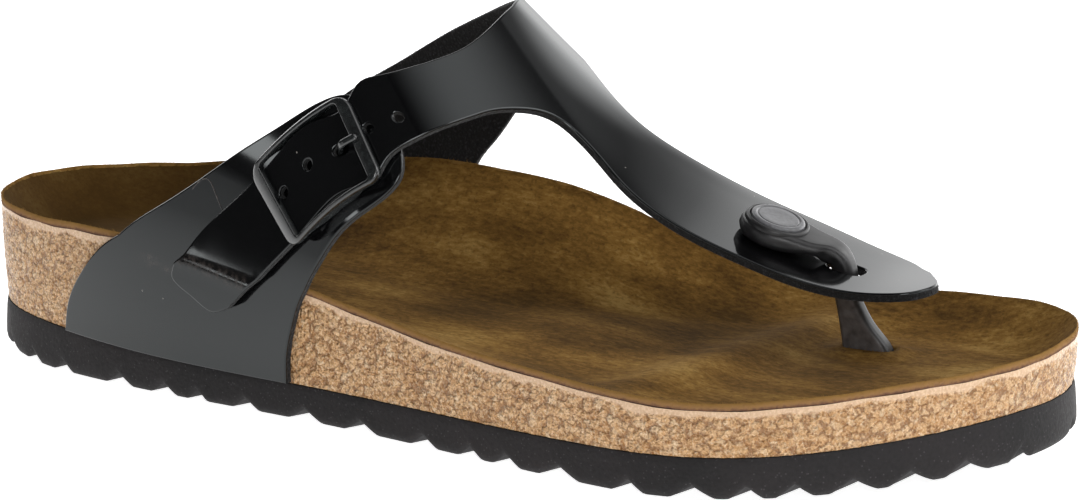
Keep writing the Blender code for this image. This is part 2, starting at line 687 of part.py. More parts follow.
def make_buckle_frame():
    """Buckle: two broad end bars, slim deep side bars and the centre bar, bent to follow the strap."""
    half_long, half_wide, half_bar = BUCKLE_LONG / 2, BUCKLE_WIDE / 2, CENTRE_BAR / 2
    inner_long, inner_wide = half_long - END_BAR, half_wide - SIDE_BAR
    along = np.array([-half_long, -inner_long, -CHEEK, -half_bar, half_bar, CHEEK, inner_long, half_long])
    across = np.array([-half_wide, -inner_wide, -inner_wide / 2, 0, inner_wide / 2, inner_wide, half_wide])
    height = np.array([CENTRE_LOW, CENTRE_HIGH, BAR_LOW, BAR_HIGH])

    def solid(i, j, k):
        """Whether a cell between the breakpoints is filled."""
        if not (0 <= i < len(along) - 1 and 0 <= j < len(across) - 1 and 0 <= k < len(height) - 1):
            return False
        side_bar = j in (0, len(across) - 2)
        end_bar = i in (0, len(along) - 2)
        if k == 2:
            return side_bar or end_bar
        return (side_bar and 2 <= i <= 4) or (i == 3 and k == 0)

    mesh = bmesh.new()
    corners = {}

    def corner(i, j, k):
        """The vertex at a corner of the cells, with the buckle's four outer corners cut."""
        if (i, j, k) not in corners:
            a, b = along[i], across[j]
            if abs(a) == half_long and abs(b) == half_wide:
                a, b = a - math.copysign(CORNER_CUT, a), b - math.copysign(CORNER_CUT / 2, b)
            point = over_last(*on_buckle(a, b), height[k])
            corners[(i, j, k)] = mesh.verts.new(point)
        return corners[(i, j, k)]

    walls = (
        # step to the next cell, corners of the wall between the two
        ((1, 0, 0), ((1, 0, 0), (1, 1, 0), (1, 1, 1), (1, 0, 1))),
        ((0, 1, 0), ((0, 1, 0), (0, 1, 1), (1, 1, 1), (1, 1, 0))),
        ((0, 0, 1), ((0, 0, 1), (1, 0, 1), (1, 1, 1), (0, 1, 1))),
    )
    for i, j, k in product(range(-1, len(along)), range(-1, len(across)), range(-1, len(height))):
        for (di, dj, dk), face in walls:
            if solid(i, j, k) != solid(i + di, j + dj, k + dk):
                mesh.faces.new([corner(i + a, j + b, k + c) for a, b, c in face])
    return finish("buckle_frame", mesh)


def make_buckle_prong():
    """Prong: from the centre bar under the strap, up through its hole and over the end bar."""
    path = np.array(PRONG_PATH)
    lean = np.gradient(path, axis=0)
    lean = lean / np.linalg.norm(lean, axis=1, keepdims=True)
    ring = rounded(PRONG_THICK, PRONG_WIDE, PRONG_ROUND)
    mesh = bmesh.new()
    rings = []
    for (along, height), (run, rise) in zip(path, lean):
        place = on_buckle(along - rise * ring[:, 0], ring[:, 1])
        rings.append(over_last(*place, height + run * ring[:, 0]))
    add_tube(mesh, rings)
    return finish("buckle_prong", mesh)


def post_section(long, width):
    """A rounded section of the toe post."""
    return rounded(long, width, min(POST_ROUND, width * POST_ROUND_SHARE))


def make_toe_post():
    """Toe post: round head and arm on the strip, the bend into the slot, and the blade below it."""
    girth = girth_at(*HEAD_AT)
    head = np.array([*HEAD_AT, over_last(HEAD_AT[0], girth, GAP + WALL)[2] + 2 * GAP])
    sideways = (STRIP_SLOT[1] - HEAD_AT[1]) / (STRIP_SLOT[0] - HEAD_AT[0])
    run = np.array([1, sideways, HEAD_SLOPE])
    run = run / np.linalg.norm(run)
    across = np.cross(last_normal(HEAD_AT[0], girth), run)
    across = across / np.linalg.norm(across)
    upright = np.cross(run, across)
    mesh = bmesh.new()
    rings = []
    for station, lift, width, share in POST_ARM:
        thick = HEAD_THICK * share
        middle = head + run * ((station - HEAD_AT[0]) / run[0]) + upright * (lift + thick / 2)
        loop = post_section(thick, width)
        rings.append(middle + loop[:, :1] * upright + loop[:, 1:] * across)
    for station, y, height, long, width, lean in POST_BLADE:
        tilt = math.radians(lean)
        forward = np.array([math.cos(tilt), 0, math.sin(tilt)])
        loop = post_section(long, width)
        rings.append(np.array([station, y, height]) + loop[:, :1] * forward + loop[:, 1:] * [0, 1, 0])
    add_tube(mesh, rings)
    button_seat = head + upright * (HEAD_THICK + GAP)
    return finish("toe_post", mesh), button_seat, run, across, upright


def make_button(seat, run, across, upright):
    """Round cap of the toe post, with a chamfered edge."""
    mesh = bmesh.new()
    angle = (np.arange(BUTTON_SIDES) * 2 * math.pi / BUTTON_SIDES)[:, None]
    spokes = BUTTON_RADIUS * (np.cos(angle) * run + np.sin(angle) * across)
    rings = [seat + upright * BUTTON_HIGH * height + spokes * radius for radius, height in BUTTON_PROFILE]
    add_tube(mesh, rings)
    return finish("toe_post_button", mesh)


def place_on_floor(pieces, guides):
    """Parents every piece to an empty that puts the origin at the bottom centre of the sandal."""
    corners = np.vstack([[tuple(v.co) for v in piece.data.vertices] for piece in pieces])
    low, high = corners.min(0), corners.max(0)
    sandal = bpy.data.objects.new("sandal", None)
    bpy.context.collection.objects.link(sandal)
    sandal.location = (-(low[0] + high[0]) / 2, -(low[1] + high[1]) / 2, -low[2])
    for piece in pieces + guides:
        piece.parent = sandal


def main():
    for old in list(bpy.data.objects):
        bpy.data.objects.remove(old)
    top = bed_grid()
    outsole = make_outsole()
    footbed = make_footbed(top - [0, 0, INSOLE + GAP])
    insole = make_insole(top)
    cutter = cut_post_slot(footbed, insole)
    strap = make_t_strap()
    panel = make_buckle_panel()
    frame = make_buckle_frame()
    prong = make_buckle_prong()
    post, *seat = make_toe_post()
    button = make_button(*seat)
    place_on_floor([outsole, footbed, insole, strap, panel, frame, prong, post, button], [cutter])


main()
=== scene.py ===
"""Looks of the toe post sandal: patent straps, lacquered cork, suede lining, foam rubber sole and buckle.

Shapes are worked out in millimetres, with the heel's back at x = 0, the toe towards +x and the medial side at
+y, and move to the frame's origin when a mesh is made.
"""
import math

import bmesh
import bpy
import numpy as np
from mathutils import Matrix, Vector, noise
from mathutils.geometry import delaunay_2d_cdt


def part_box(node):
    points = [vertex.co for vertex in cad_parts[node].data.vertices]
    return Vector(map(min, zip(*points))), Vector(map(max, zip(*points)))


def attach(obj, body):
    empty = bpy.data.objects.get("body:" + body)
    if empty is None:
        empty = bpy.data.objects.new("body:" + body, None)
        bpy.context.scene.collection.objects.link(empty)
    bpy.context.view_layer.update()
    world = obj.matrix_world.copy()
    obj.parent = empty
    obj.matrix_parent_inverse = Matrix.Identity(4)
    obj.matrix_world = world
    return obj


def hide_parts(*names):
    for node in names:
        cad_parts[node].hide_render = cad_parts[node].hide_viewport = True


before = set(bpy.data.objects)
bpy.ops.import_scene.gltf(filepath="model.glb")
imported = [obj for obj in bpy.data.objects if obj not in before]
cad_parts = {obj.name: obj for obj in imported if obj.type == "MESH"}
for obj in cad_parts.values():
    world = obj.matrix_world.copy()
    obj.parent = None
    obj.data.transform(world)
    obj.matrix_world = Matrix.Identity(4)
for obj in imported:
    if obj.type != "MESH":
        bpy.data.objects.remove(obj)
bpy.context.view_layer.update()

MM = 0.001
PER_MM = 1000.0             # texture scale of a pattern that repeats every millimetre
GAP = 0.3
WELD, CDT_NEAR = 2e-3, 1e-6     # distances within which points become one, in a piece and in a flat sheet
PLAIN_SHARP, BUCKLE_SHARP, ROUND_SHARP = 35.0, 50.0, 60.0      # angles past which an edge is shaded sharp

# Sole
LENGTH = 265.2
CAD_STATIONS = 37           # stations of the footbed in the frame, for its place
HEEL_LIFT, HEEL_FLAT, BEVEL_POWER = 2.95, 30.0, 1.5
TOE_SPRING, SPRING_START, SPRING_END, SPRING_POWER = 4.85, 190.0, 262.0, 1.6
LUG_DEPTH, LUG_WAVE, NOTCH_POWER = 2.7, 5.0, 1.2
BASE_INSET = 0.75
INSOLE = 1.6
SOLE_STATIONS, SOLE_ROWS, SOLE_SIDE_ROWS = 520, 41, 11
SOLE_SIDE = (
    # share of the height, inset from the rim
    (0.0, 0.55), (0.1, 0.05), (0.2, -0.15), (0.4, -0.1), (0.8, 0.2), (0.9, 0.32), (1.0, 0.55),
)
SOLE_LIP = (
    # inset, rise: the rounded lower edge of the lugs
    (1.5, 0.0), (1.0, 0.06), (0.7, 0.2),
)
CORK_STATIONS, CORK_ROWS, CORK_TOP_ROWS = 720, 36, 13
CORK_GRAIN, CORK_RELIEF = 1.6, 0.16     # size and height of the pressed granules
CORK_BAND, BAND_PLAIN = 1.4, 0.6        # smooth strip under the lining, and the share of it without granules
GRAIN_EDGE = 0.5                        # share of a granule's size over which its edge falls off
BED_STATIONS, BED_ROWS = 230, 73
LINING_EDGE = (
    # inset from the rim, drop
    (0.6, 0.0), (0.25, 0.08), (0.05, 0.3), (0.0, 0.65), (0.0, 1.1), (0.0, 1.6),
)
BED_MARK = -1.0             # mark of the lining's top, which falls by one more over the heel's painted shade
HEEL_PAINTED_SHADE = (92.0, 50.0)    # stations over which painted shade darkens the lining towards the heel
RIM_POINTS = 700

# Upper
WALL = 2.0
STRAP_LIFT, LIFT_START, LIFT_END = 2.3, -34.0, -48.0
STRAP_MESH, EDGE_CLEAR = 1.15, 0.6      # spacing of the straps' points, share of it kept free along an edge
GIRTH_MM = 0.9              # rough length of a degree of girth
SLOPE_STEP = 0.2            # step on the last over which a slope is measured
MEDIAL_FOOT, PANEL_FOOT = (38.0, 103.5), (36.0, 102.8)     # stations of the feet's ends
STRIP_TIP = (237.3, 7.6)    # station, y
STRAP_EDGE = (
    # inset from the cut edge, height above the strap's back
    (0.5, 0.0), (0.14, 0.06), (0.0, 0.3), (0.06, 0.7), (0.0, 1.1), (0.03, 1.5),
    (0.0, 1.62), (0.05, 1.8), (0.2, 1.94), (0.5, 2.0),
)
FELT_ROWS = 5               # of those strips, from the back up

# Buckle
BUCKLE_AT, BUCKLE_RUN = (113.3, -68.2), (0.80, 0.79)       # station and girth, and steps in both along it
BUCKLE_LONG, BUCKLE_WIDE, BUCKLE_CORNER = 27.2, 21.0, 3.4
END_BAR, SIDE_BAR, WINDOW_CORNER = 3.0, 1.2, 0.9
BAR_LOW, BAR_HIGH = 5.2, 7.3
CENTRE_BAR, CENTRE_LOW, CENTRE_HIGH = 1.5, 2.6, 4.1
STRAP_HUMP = 1.8
HUMP = (
    # along the strap, share of the hump
    (-26.0, 0.0), (-12.0, 0.26), (-0.8, 1.0), (3.2, 1.0), (5.6, 0.74), (10.6, 0.05), (14.0, 0.0),
)
STRAP_IN_BUCKLE = ((-12.5, -4.0, 4.0, 11.5), 17.4)     # places along the strap, width
TAIL = (
    # along the strap, height of the tail's face off the panel
    (-38.0, 8.1), (-33.5, 8.1), (-31.6, 8.05), (-30.0, 7.7), (-27.0, 6.8), (-18.5, 4.2), (-9.0, 1.3),
    (-4.0, 0.4), (2.0, 0.05), (10.0, 0.0),
)
TAIL_SLANT = 0.5            # slant of the tail's bend across the strap
TAIL_SHEEN = (-31.0, 2.0)   # place along the strap and half width of the band of painted sheen
TAIL_GIRTH = -75.0          # the tail lies below this girth
TAIL_STAND = 0.14           # share of that height by which the front edge really stands off
STAND_MOST = 1.2            # how far the stand grows past the front edge
PANEL_SCUFFS = (
    # station, girth, half length, half width
    (65.0, -94.5, 3.0, 1.2), (70.5, -95.5, 1.6, 0.8),
)
PANEL_CREASE = (
    # station, girth
    (77.8, -80.7), (80.2, -78.9), (82.4, -78.4), (84.2, -79.9), (86.4, -82.3),
)
CREASE_WIDE = 0.3
# how strongly the pale colour shows at real scuffs and in the painted sheen on the tail
SCUFF_AND_SHEEN_SHARE = 0.4
FRAME_CORNER, FRAME_STRAIGHT = 8, 14    # points round a corner of the buckle and along a straight side
CENTRE_ROUND, CENTRE_RINGS, SECTION_CORNER = 0.6, 12, 5
END_FALL = 1.0              # the face of the bar over the tail falls off outwards
SIDE_DEEP = (9.0, 3.5)      # along the side bars, which are deeper where they hold the centre bar
PRONG_WIDE, PRONG_THICK, PRONG_ROUND, PRONG_RINGS = 1.6, 1.2, 0.5, 40
PRONG_TIP, TIP_ROUND, TIP_LEAST = 0.7, 0.75, 0.05       # length of the rounded tip, radius, least share
PRONG_PATH = (
    # along the strap, height
    (1.05, 3.3), (3.45, 3.3), (5.4, 3.3), (6.5, 4.6), (7.6, 6.6), (8.8, 8.0), (9.9, 8.2), (12.5, 8.2),
)
PRONG_HOLE = (6.9, 0.0, 3.4, 2.6)       # along, across, length, width
PUNCHED_HOLES = (
    # along, across, length, width
    (-9.3, -1.0, 2.3, 2.3), (-1.0, -1.4, 2.3, 2.3), (14.5, -2.0, 2.3, 2.3), (21.9, -2.6, 2.3, 2.3),
)
HOLE_SIDES = 20

# Toe post
HEAD_AT, HEAD_THICK, HEAD_SLOPE = (198.2, 8.6), 4.2, -0.33
POST_ROUND, POST_ROUND_SHARE = 1.6, 0.45
POST_RINGS, POST_CORNER = 70, 8
STRIP_SLOT = (214.2, 11.4, 8.6, 6.4, 2.5)       # station, y, length, width, corner
BED_SLOT = (218.0, 16.3, 12.2, 5.4, 2.0)        # the same
BED_SLOT_CUT = (5.0, 26.0)                      # heights between which it is cut
SHEEN_ROWS, SHEEN_FACE = (2, 3), (0.4, 0.49)    # where the painted sheen begins: rows of the blade, shares of its width
SLOT_LIP, SLOT_LIP_WIDE = 1.3, 3.2      # suede drawn up round the post
BUTTON_SIDES = 64
BUTTON_PROFILE = (
    # radius, height: a dished face, a turned ring near its edge and a rounded rim
    (6.0, 0.0), (6.0, 0.55), (5.9, 0.8), (5.65, 0.95), (5.2, 1.0), (4.95, 0.98), (4.85, 0.8), (4.6, 0.78),
    (4.5, 0.93), (4.3, 0.97), (3.0, 0.9), (1.5, 0.86), (0.3, 0.85),
)
COLLAR = (
    # radius, height over the button's seat: the raised ring round the button
    (6.3, -0.6), (6.3, 0.3), (6.42, 0.55), (6.65, 0.66), (6.9, 0.6), (7.1, 0.35), (7.2, -0.1), (7.2, -0.6),
)

OUTLINE = (
    # station, lateral y, lateral rim, lateral dish, medial y, medial rim, medial dish
    (0.0, 0.0, 38.7, 12.0, 0.0, 38.7, 12.0),
    (8.0, -20.6, 37.9, 12.0, 18.8, 38.4, 12.0),
    (30.0, -30.2, 36.8, 12.0, 29.7, 39.2, 12.5),
    (65.0, -35.4, 36.5, 15.0, 31.5, 43.5, 18.0),
    (105.0, -38.1, 31.5, 18.0, 31.1, 46.3, 29.0),
    (145.0, -43.4, 25.0, 18.0, 36.4, 39.4, 31.0),
    (180.0, -48.7, 22.3, 15.0, 43.3, 26.5, 20.0),
    (205.0, -49.6, 21.1, 14.0, 46.5, 24.5, 17.0),
    (228.0, -42.1, 22.6, 13.0, 44.9, 25.9, 14.0),
    (246.0, -28.6, 24.8, 12.0, 39.8, 27.4, 13.0),
    (258.0, -13.7, 26.0, 12.0, 32.3, 27.6, 12.0),
    (LENGTH, 10.0, 27.5, 12.0, 10.0, 27.5, 12.0),
)
DISH_POWER = 1.8
PROFILE = (
    # station, top of the outsole, floor of the bed
    (0.0, 13.6, 27.5),
    (60.0, 9.25, 25.5),
    (130.0, 8.3, 21.0),
    (190.0, 8.9, 17.4),
    (230.0, 11.1, 17.6),
    (262.0, 15.6, 19.5),
)
TOE_BAR = (196.0, 0.17, 8.0, 2.6)               # station, slant, breadth, height
METATARSAL_PAD = (160.0, -4.0, 19.0, 2.2)       # station, y, breadth, height
GROOVES = (
    # station, half width
    (11.0, 3.0), (21.0, 3.0), (32.0, 3.5), (51.0, 4.5), (65.0, 4.0), (75.0, 3.0), (89.0, 4.0),
    (106.0, 5.0), (122.0, 5.0), (140.0, 4.0), (153.0, 3.5), (163.0, 4.0), (177.0, 5.5), (194.5, 4.0),
    (209.0, 5.0), (220.0, 3.5), (229.0, 3.5), (239.0, 4.0), (248.0, 3.5), (256.0, 3.0),
)
TOE_NOTCHES = (
    # side, station, half length along the edge
    ("lateral", 262.6, 3.4), ("medial", 264.4, 3.4), ("medial", 259.5, 3.2),
)
CREST = (
    # station, y, height
    (30.0, 0.0, 148.0), (70.0, 2.0, 127.0), (100.0, 4.0, 112.0), (120.0, 6.3, 98.4), (135.0, 8.0, 84.0),
    (150.0, 11.0, 68.4), (165.0, 15.0, 55.7), (180.0, 18.5, 46.9), (200.0, 21.0, 39.1), (220.0, 21.0, 33.8),
    (240.0, 19.0, 34.8),
)
SQUARE_START, SQUARE_END, SQUARE_POWER = 125.0, 190.0, 3.2
# Edges of the straps on the last: station, girth in degrees from the crest, then millimetres down the side
TAIL_REAR = ((74.0, -92.6), (82.0, -86.0), (90.0, -80.4))
TAIL_FRONT = ((90.0, -98.8), (96.0, -92.5), (101.5, -87.8))
TAIL_END = ((73.0, -95.9), (78.5, -99.2), (85.0, -101.2))
STRAP_REAR = (
    # station, girth
    (118.1, -50.5), (121.7, -46.3), (127.9, -37.1), (132.4, -26.2), (133.5, -18.0), (133.2, -9.0),
    (132.0, 1.0), (130.5, 12.0), (127.5, 26.0), (120.3, 42.1), (113.5, 51.7), (101.2, 63.1), (89.0, 71.4),
    (76.8, 77.3), (62.0, 84.0), (50.0, 91.0), (42.0, 101.0), (38.0, 111.0),
)
STRAP_FRONT_LATERAL = (
    # station, girth
    (128.8, -59.5), (132.2, -53.3), (138.0, -42.9), (142.5, -31.6), (146.5, -23.2), (151.5, -16.6),
)
STRAP_FRONT_MEDIAL = (
    # station, girth
    (104.0, 106.0), (106.0, 97.0), (109.1, 89.6), (112.3, 85.7), (119.0, 75.6), (126.0, 62.0),
    (133.0, 46.0), (140.0, 31.0), (148.5, 18.5),
)
STRIP = (
    # station, lateral y, medial y
    (158.5, -3.0, 19.0), (167.0, -4.7, 22.6), (176.0, -5.8, 26.2), (186.0, -5.9, 28.6), (199.0, -5.1, 30.6),
    (209.0, -4.0, 31.0), (217.0, -2.4, 29.8), (223.0, -1.2, 27.0), (229.5, 0.2, 21.0), (235.0, 2.6, 13.6),
)
PANEL_REAR = (
    # station, girth
    (37.2, -110.0), (39.5, -105.2), (43.2, -100.3), (48.5, -94.8), (57.4, -89.2), (68.4, -84.5),
    (80.0, -78.7), (90.7, -72.1), (101.0, -65.0), (110.2, -57.3), (115.5, -53.6), (121.5, -52.0),
    (127.5, -53.0), (131.0, -56.0), (131.9, -59.5),
)
PANEL_FRONT = (
    # station, girth
    (103.2, -107.0), (105.0, -100.0), (107.2, -93.8), (109.9, -88.9), (113.4, -84.2), (118.0, -78.2),
    (123.0, -72.9), (128.0, -67.5), (130.9, -63.0),
)
POST_ARM = (
    # station, lift, width, share of the head's thickness
    (191.0, 0.9, 4.4, 0.60), (192.2, 0.3, 8.6, 0.86), (194.2, 0.0, 12.2, 1.0), (198.2, 0.0, 14.6, 1.0),
    (202.2, 0.2, 13.2, 0.98), (205.4, 0.8, 11.4, 0.80), (208.4, 1.3, 9.6, 0.70),
)
POST_BLADE = (
    # station, y, height, length, width, lean of the section in degrees from level
    (211.4, 11.0, 40.2, 4.2, 7.8, 55.0),
    (213.3, 11.2, 38.7, 4.6, 5.8, 28.0),
    (214.1, 11.4, 36.9, 4.8, 5.0, 8.0),
    (214.3, 12.2, 32.0, 5.2, 4.6, 0.0),
    (215.0, 13.5, 27.5, 6.2, 4.4, 0.0),
    (216.2, 14.9, 23.0, 8.4, 4.4, 0.0),
    (217.6, 16.0, 19.0, 11.0, 4.6, 0.0),
    (218.0, 16.3, 16.0, 11.6, 4.8, 0.0),
    (218.0, 16.3, 10.75, 11.6, 4.8, 0.0),
)


def columns(table):
    """The table's columns as arrays."""
    return np.array(table, float).T


def spline(knots, values):
    """Natural cubic spline through the values at the knots, held at its ends."""
    x, y = np.asarray(knots, float), np.asarray(values, float)
    step, count = np.diff(x), len(x)
    system, right = np.eye(count), np.zeros(count)
    for i in range(1, count - 1):
        system[i, i - 1:i + 2] = step[i - 1], 2 * (step[i - 1] + step[i]), step[i]
        right[i] = 6 * ((y[i + 1] - y[i]) / step[i] - (y[i] - y[i - 1]) / step[i - 1])
    bend = np.linalg.solve(system, right)

    def value(at):
        at = np.clip(np.asarray(at, float), x[0], x[-1])
        i = np.clip(np.searchsorted(x, at) - 1, 0, count - 2)
        after, before = (at - x[i]) / step[i], (x[i + 1] - at) / step[i]
        curve = (before ** 3 - before) * bend[i] + (after ** 3 - after) * bend[i + 1]
        return before * y[i] + after * y[i + 1] + curve * step[i] ** 2 / 6

    return value


def smooth_step(value, start, end):
    """0 before start, 1 past end, with a soft run between."""
    t = np.clip((np.asarray(value, float) - start) / (end - start), 0, 1)
    return t * t * (3 - 2 * t)


def unit(vectors):
    """The vectors at length 1."""
    return vectors / np.linalg.norm(vectors, axis=-1, keepdims=True)


def turn(station):
    """Angle that spreads the stations, so that heel and toe come out round."""
    return np.arccos(np.clip(1 - 2 * np.asarray(station, float) / LENGTH, -1, 1))


STATION, LAT_Y, LAT_RIM, LAT_DISH, MED_Y, MED_RIM, MED_DISH = columns(OUTLINE)
# Each side's edge, rim height and dish width, by the angle of the station
SIDES = {
    "lateral": [spline(turn(STATION), column) for column in (LAT_Y, LAT_RIM, LAT_DISH)],
    "medial": [spline(turn(STATION), column) for column in (MED_Y, MED_RIM, MED_DISH)],
}
outsole_top = spline(*columns(PROFILE)[[0, 1]])
bed_floor = spline(*columns(PROFILE)[[0, 2]])
crest_y = spline(*columns(CREST)[[0, 1]])
crest_z = spline(*columns(CREST)[[0, 2]])


def on_side(lateral, column, angle):
    """A column of SIDES at each angle, from the lateral or the medial side."""
    return np.where(lateral, SIDES["lateral"][column](angle), SIDES["medial"][column](angle))


def outline(side, angle, inset=0.0):
    """Points of one side of the outline, moved inwards by the inset."""
    edge, small = SIDES[side][0], 1e-4
    angle = np.asarray(angle, float)
    x, y = LENGTH / 2 * (1 - np.cos(angle)), edge(angle)
    run = LENGTH / 2 * np.sin(angle)
    before, after = np.maximum(angle - small, 0), np.minimum(angle + small, math.pi)
    rise = (edge(after) - edge(before)) / (after - before)
    turned = 1.0 if side == "lateral" else -1.0
    size = np.hypot(run, rise)
    return np.stack([x - turned * rise / size * inset, y + turned * run / size * inset], -1)


def frame_shift():
    """Where the shapes' zero point lies in the frame, in millimetres."""
    low = np.array(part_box("footbed")[0]) / MM
    edge = outline("lateral", np.linspace(0, math.pi, CAD_STATIONS))
    return np.array([low[0], low[1] - edge[:, 1].min(), 0.0])


SHIFT = frame_shift()


def underside(x):
    """Height of the lugs' faces above the floor."""
    heel = HEEL_LIFT * np.clip((HEEL_FLAT - x) / HEEL_FLAT, 0, 1) ** BEVEL_POWER
    toe = TOE_SPRING * np.clip((x - SPRING_START) / (SPRING_END - SPRING_START), 0, None) ** SPRING_POWER
    return heel + toe


def rim_points():
    """The rim all round, closely spaced: x, y, height and dish width."""
    angle = np.linspace(0, math.pi, RIM_POINTS)
    return np.vstack([np.column_stack([outline(side, angle), rim(angle), dish(angle)])
                      for side, (_, rim, dish) in SIDES.items()])


RIM = rim_points()


def bed(x, y):
    """Height of the lining's top: a dish that comes down from the rim, with toe bar and metatarsal pad."""
    x, y = np.broadcast_arrays(np.asarray(x, float), np.asarray(y, float))
    spots = np.column_stack([x.ravel(), y.ravel()])
    height = np.empty(len(spots))
    bar_x, bar_slant, bar_wide, bar_high = TOE_BAR
    pad_x, pad_y, pad_wide, pad_high = METATARSAL_PAD
    for i, spot in enumerate(spots):
        away = np.hypot(*(RIM[:, :2] - spot).T)
        near = away.argmin()
        rise = np.clip(1 - away[near] / RIM[near, 3], 0, 1) ** DISH_POWER
        ridge = bar_high * math.exp(-((spot[0] - bar_x - bar_slant * spot[1]) / bar_wide) ** 2)
        pad = pad_high * math.exp(-((spot[0] - pad_x) ** 2 + (spot[1] - pad_y) ** 2) / pad_wide ** 2)
        floor = bed_floor(spot[0]) + (ridge + pad) * (1 - rise)
        height[i] = floor + (RIM[near, 2] - floor) * rise
    return height.reshape(x.shape)


def last(station, girth):
    """A point on the last: an arch from rim to crest on each side, then down the footbed's side."""
    station, girth = np.broadcast_arrays(np.asarray(station, float), np.asarray(girth, float))
    lateral, angle = girth < 0, turn(station)
    edge, rim = on_side(lateral, 0, angle), on_side(lateral, 1, angle)
    out = np.sin(np.radians(np.minimum(np.abs(girth), 90)))
    power = 2 + np.where(lateral, 0, SQUARE_POWER - 2) * smooth_step(station, SQUARE_START, SQUARE_END)
    up = (1 - out ** power) ** (1 / power)
    below = np.maximum(np.abs(girth) - 90, 0)
    lean = np.sign(edge) * BASE_INSET * (below / (rim - outsole_top(station))) ** 2
    y = crest_y(station) + (edge - crest_y(station)) * out - lean
    z = rim + (crest_z(station) - rim) * up - below
    return np.stack([station, y, z], -1)


def last_slopes(station, girth):
    """How a point of the last moves for each step in station, and for each degree of girth."""
    by_station = last(station + SLOPE_STEP, girth) - last(station - SLOPE_STEP, girth)
    by_girth = last(station, girth + SLOPE_STEP) - last(station, girth - SLOPE_STEP)
    return by_station / (2 * SLOPE_STEP), by_girth / (2 * SLOPE_STEP)


def last_normal(station, girth):
    """Unit vector that points away from the foot."""
    by_station, by_girth = last_slopes(np.asarray(station, float), np.asarray(girth, float))
    return unit(np.cross(by_station, by_girth))


def over_last(station, girth, height):
    """A point at a height above the last."""
    return last(station, girth) + last_normal(station, girth) * np.asarray(height, float)[..., None]


def buckle_directions():
    """Steps in station and girth for a millimetre along the strap and for one across it."""
    by_station, by_girth = last_slopes(*BUCKLE_AT)
    along = np.array(BUCKLE_RUN)
    run = along[0] * by_station + along[1] * by_girth
    along = along / np.linalg.norm(run)
    across = np.array([-np.dot(by_girth, run), np.dot(by_station, run)])
    side = across[0] * by_station + across[1] * by_girth
    return along, -across / np.linalg.norm(side)


ALONG, ACROSS = buckle_directions()


def on_buckle(along, across):
    """Station and girth of a place in the buckle's own directions."""
    along, across = np.asarray(along, float), np.asarray(across, float)
    return (BUCKLE_AT[0] + along * ALONG[0] + across * ACROSS[0],
            BUCKLE_AT[1] + along * ALONG[1] + across * ACROSS[1])


def from_buckle(station, girth):
    """How far along the strap and across it a place lies from the buckle's middle."""
    away = np.stack([station - BUCKLE_AT[0], girth - BUCKLE_AT[1]])
    return np.linalg.solve(np.column_stack([ALONG, ACROSS]), away)


def girth_at(station, y):
    """Girth of the place at a station that lies at y."""
    station, y = np.asarray(station, float), np.asarray(y, float)
    crest, angle = crest_y(station), turn(station)
    edge = on_side(y < crest, 0, angle)
    share = np.clip((y - crest) / (edge - crest), 0, 1)
    return np.degrees(np.arcsin(share)) * np.sign(y - crest)


def foot_run(start, end, side):
    """Points along a strap's foot, just above the outsole, from one station to another."""
    stations = np.linspace(start, end, round(abs(end - start) / STRAP_MESH) + 1)
    girth = 90 + SIDES[side][1](turn(stations)) - outsole_top(stations) - GAP
    return np.column_stack([stations, -girth if side == "lateral" else girth])


def travel(points):
    """Distance travelled along a run of points, from 0."""
    return np.concatenate([[0], np.cumsum(np.linalg.norm(np.diff(points, axis=0), axis=1))])


def follow(points, travelled, count):
    """That many points at an even spacing on a smooth curve through the given ones."""
    steps = np.linspace(0, travelled[-1], count)
    return np.stack([spline(travelled, column)(steps) for column in points.T], -1)


def smooth_run(points):
    """Points at the straps' spacing on a smooth curve through the given ones, in station and girth."""
    points = np.array([tuple(point) for point in points], float)
    travelled = travel(points * [1, GIRTH_MM])
    return follow(points, travelled, max(2, round(travelled[-1] / STRAP_MESH) + 1))


def inside(points, loop):
    """Which points lie inside a closed loop."""
    x, y = points.T
    hit = np.zeros(len(points), bool)
    for (x0, y0), (x1, y1) in zip(loop, np.roll(loop, -1, axis=0)):
        crosses = (y0 > y) != (y1 > y)
        hit ^= crosses & (x < x0 + (y - y0) * (x1 - x0) / (y1 - y0 if y1 != y0 else 1))
    return hit


def sheet_facets(loops):
    """Points and triangles that fill the first loop in station and girth and leave the others open."""
    scale = np.array([1, GIRTH_MM])
    loops = [loop * scale for loop in loops]
    rims = np.vstack(loops)
    low, high = rims.min(0), rims.max(0)
    rows = []
    for k, y in enumerate(np.arange(low[1], high[1], STRAP_MESH * math.sqrt(3) / 2)):
        xs = np.arange(low[0] + (k % 2) * STRAP_MESH / 2, high[0], STRAP_MESH)
        rows.append(np.column_stack([xs, np.full(len(xs), y)]))
    fill = np.vstack(rows)
    for loop in loops:
        fill = fill[inside(fill, loop) == (loop is loops[0])]
    fill = fill[[np.hypot(*(rims - spot).T).min() > STRAP_MESH * EDGE_CLEAR for spot in fill]]
    edges, start = [], 0
    for ring in loops:
        edges += [(start + i, start + (i + 1) % len(ring)) for i in range(len(ring))]
        start += len(ring)
    points = [tuple(point) for point in np.vstack([rims, fill])]
    corners, _, faces, *_ = delaunay_2d_cdt(points, edges, [], 1, CDT_NEAR)
    corners = np.array([tuple(corner) for corner in corners])
    faces = np.array([list(face) for face in faces])
    for loop in loops:
        faces = faces[inside(corners[faces].mean(1), loop) == (loop is loops[0])]
    return corners / scale, faces


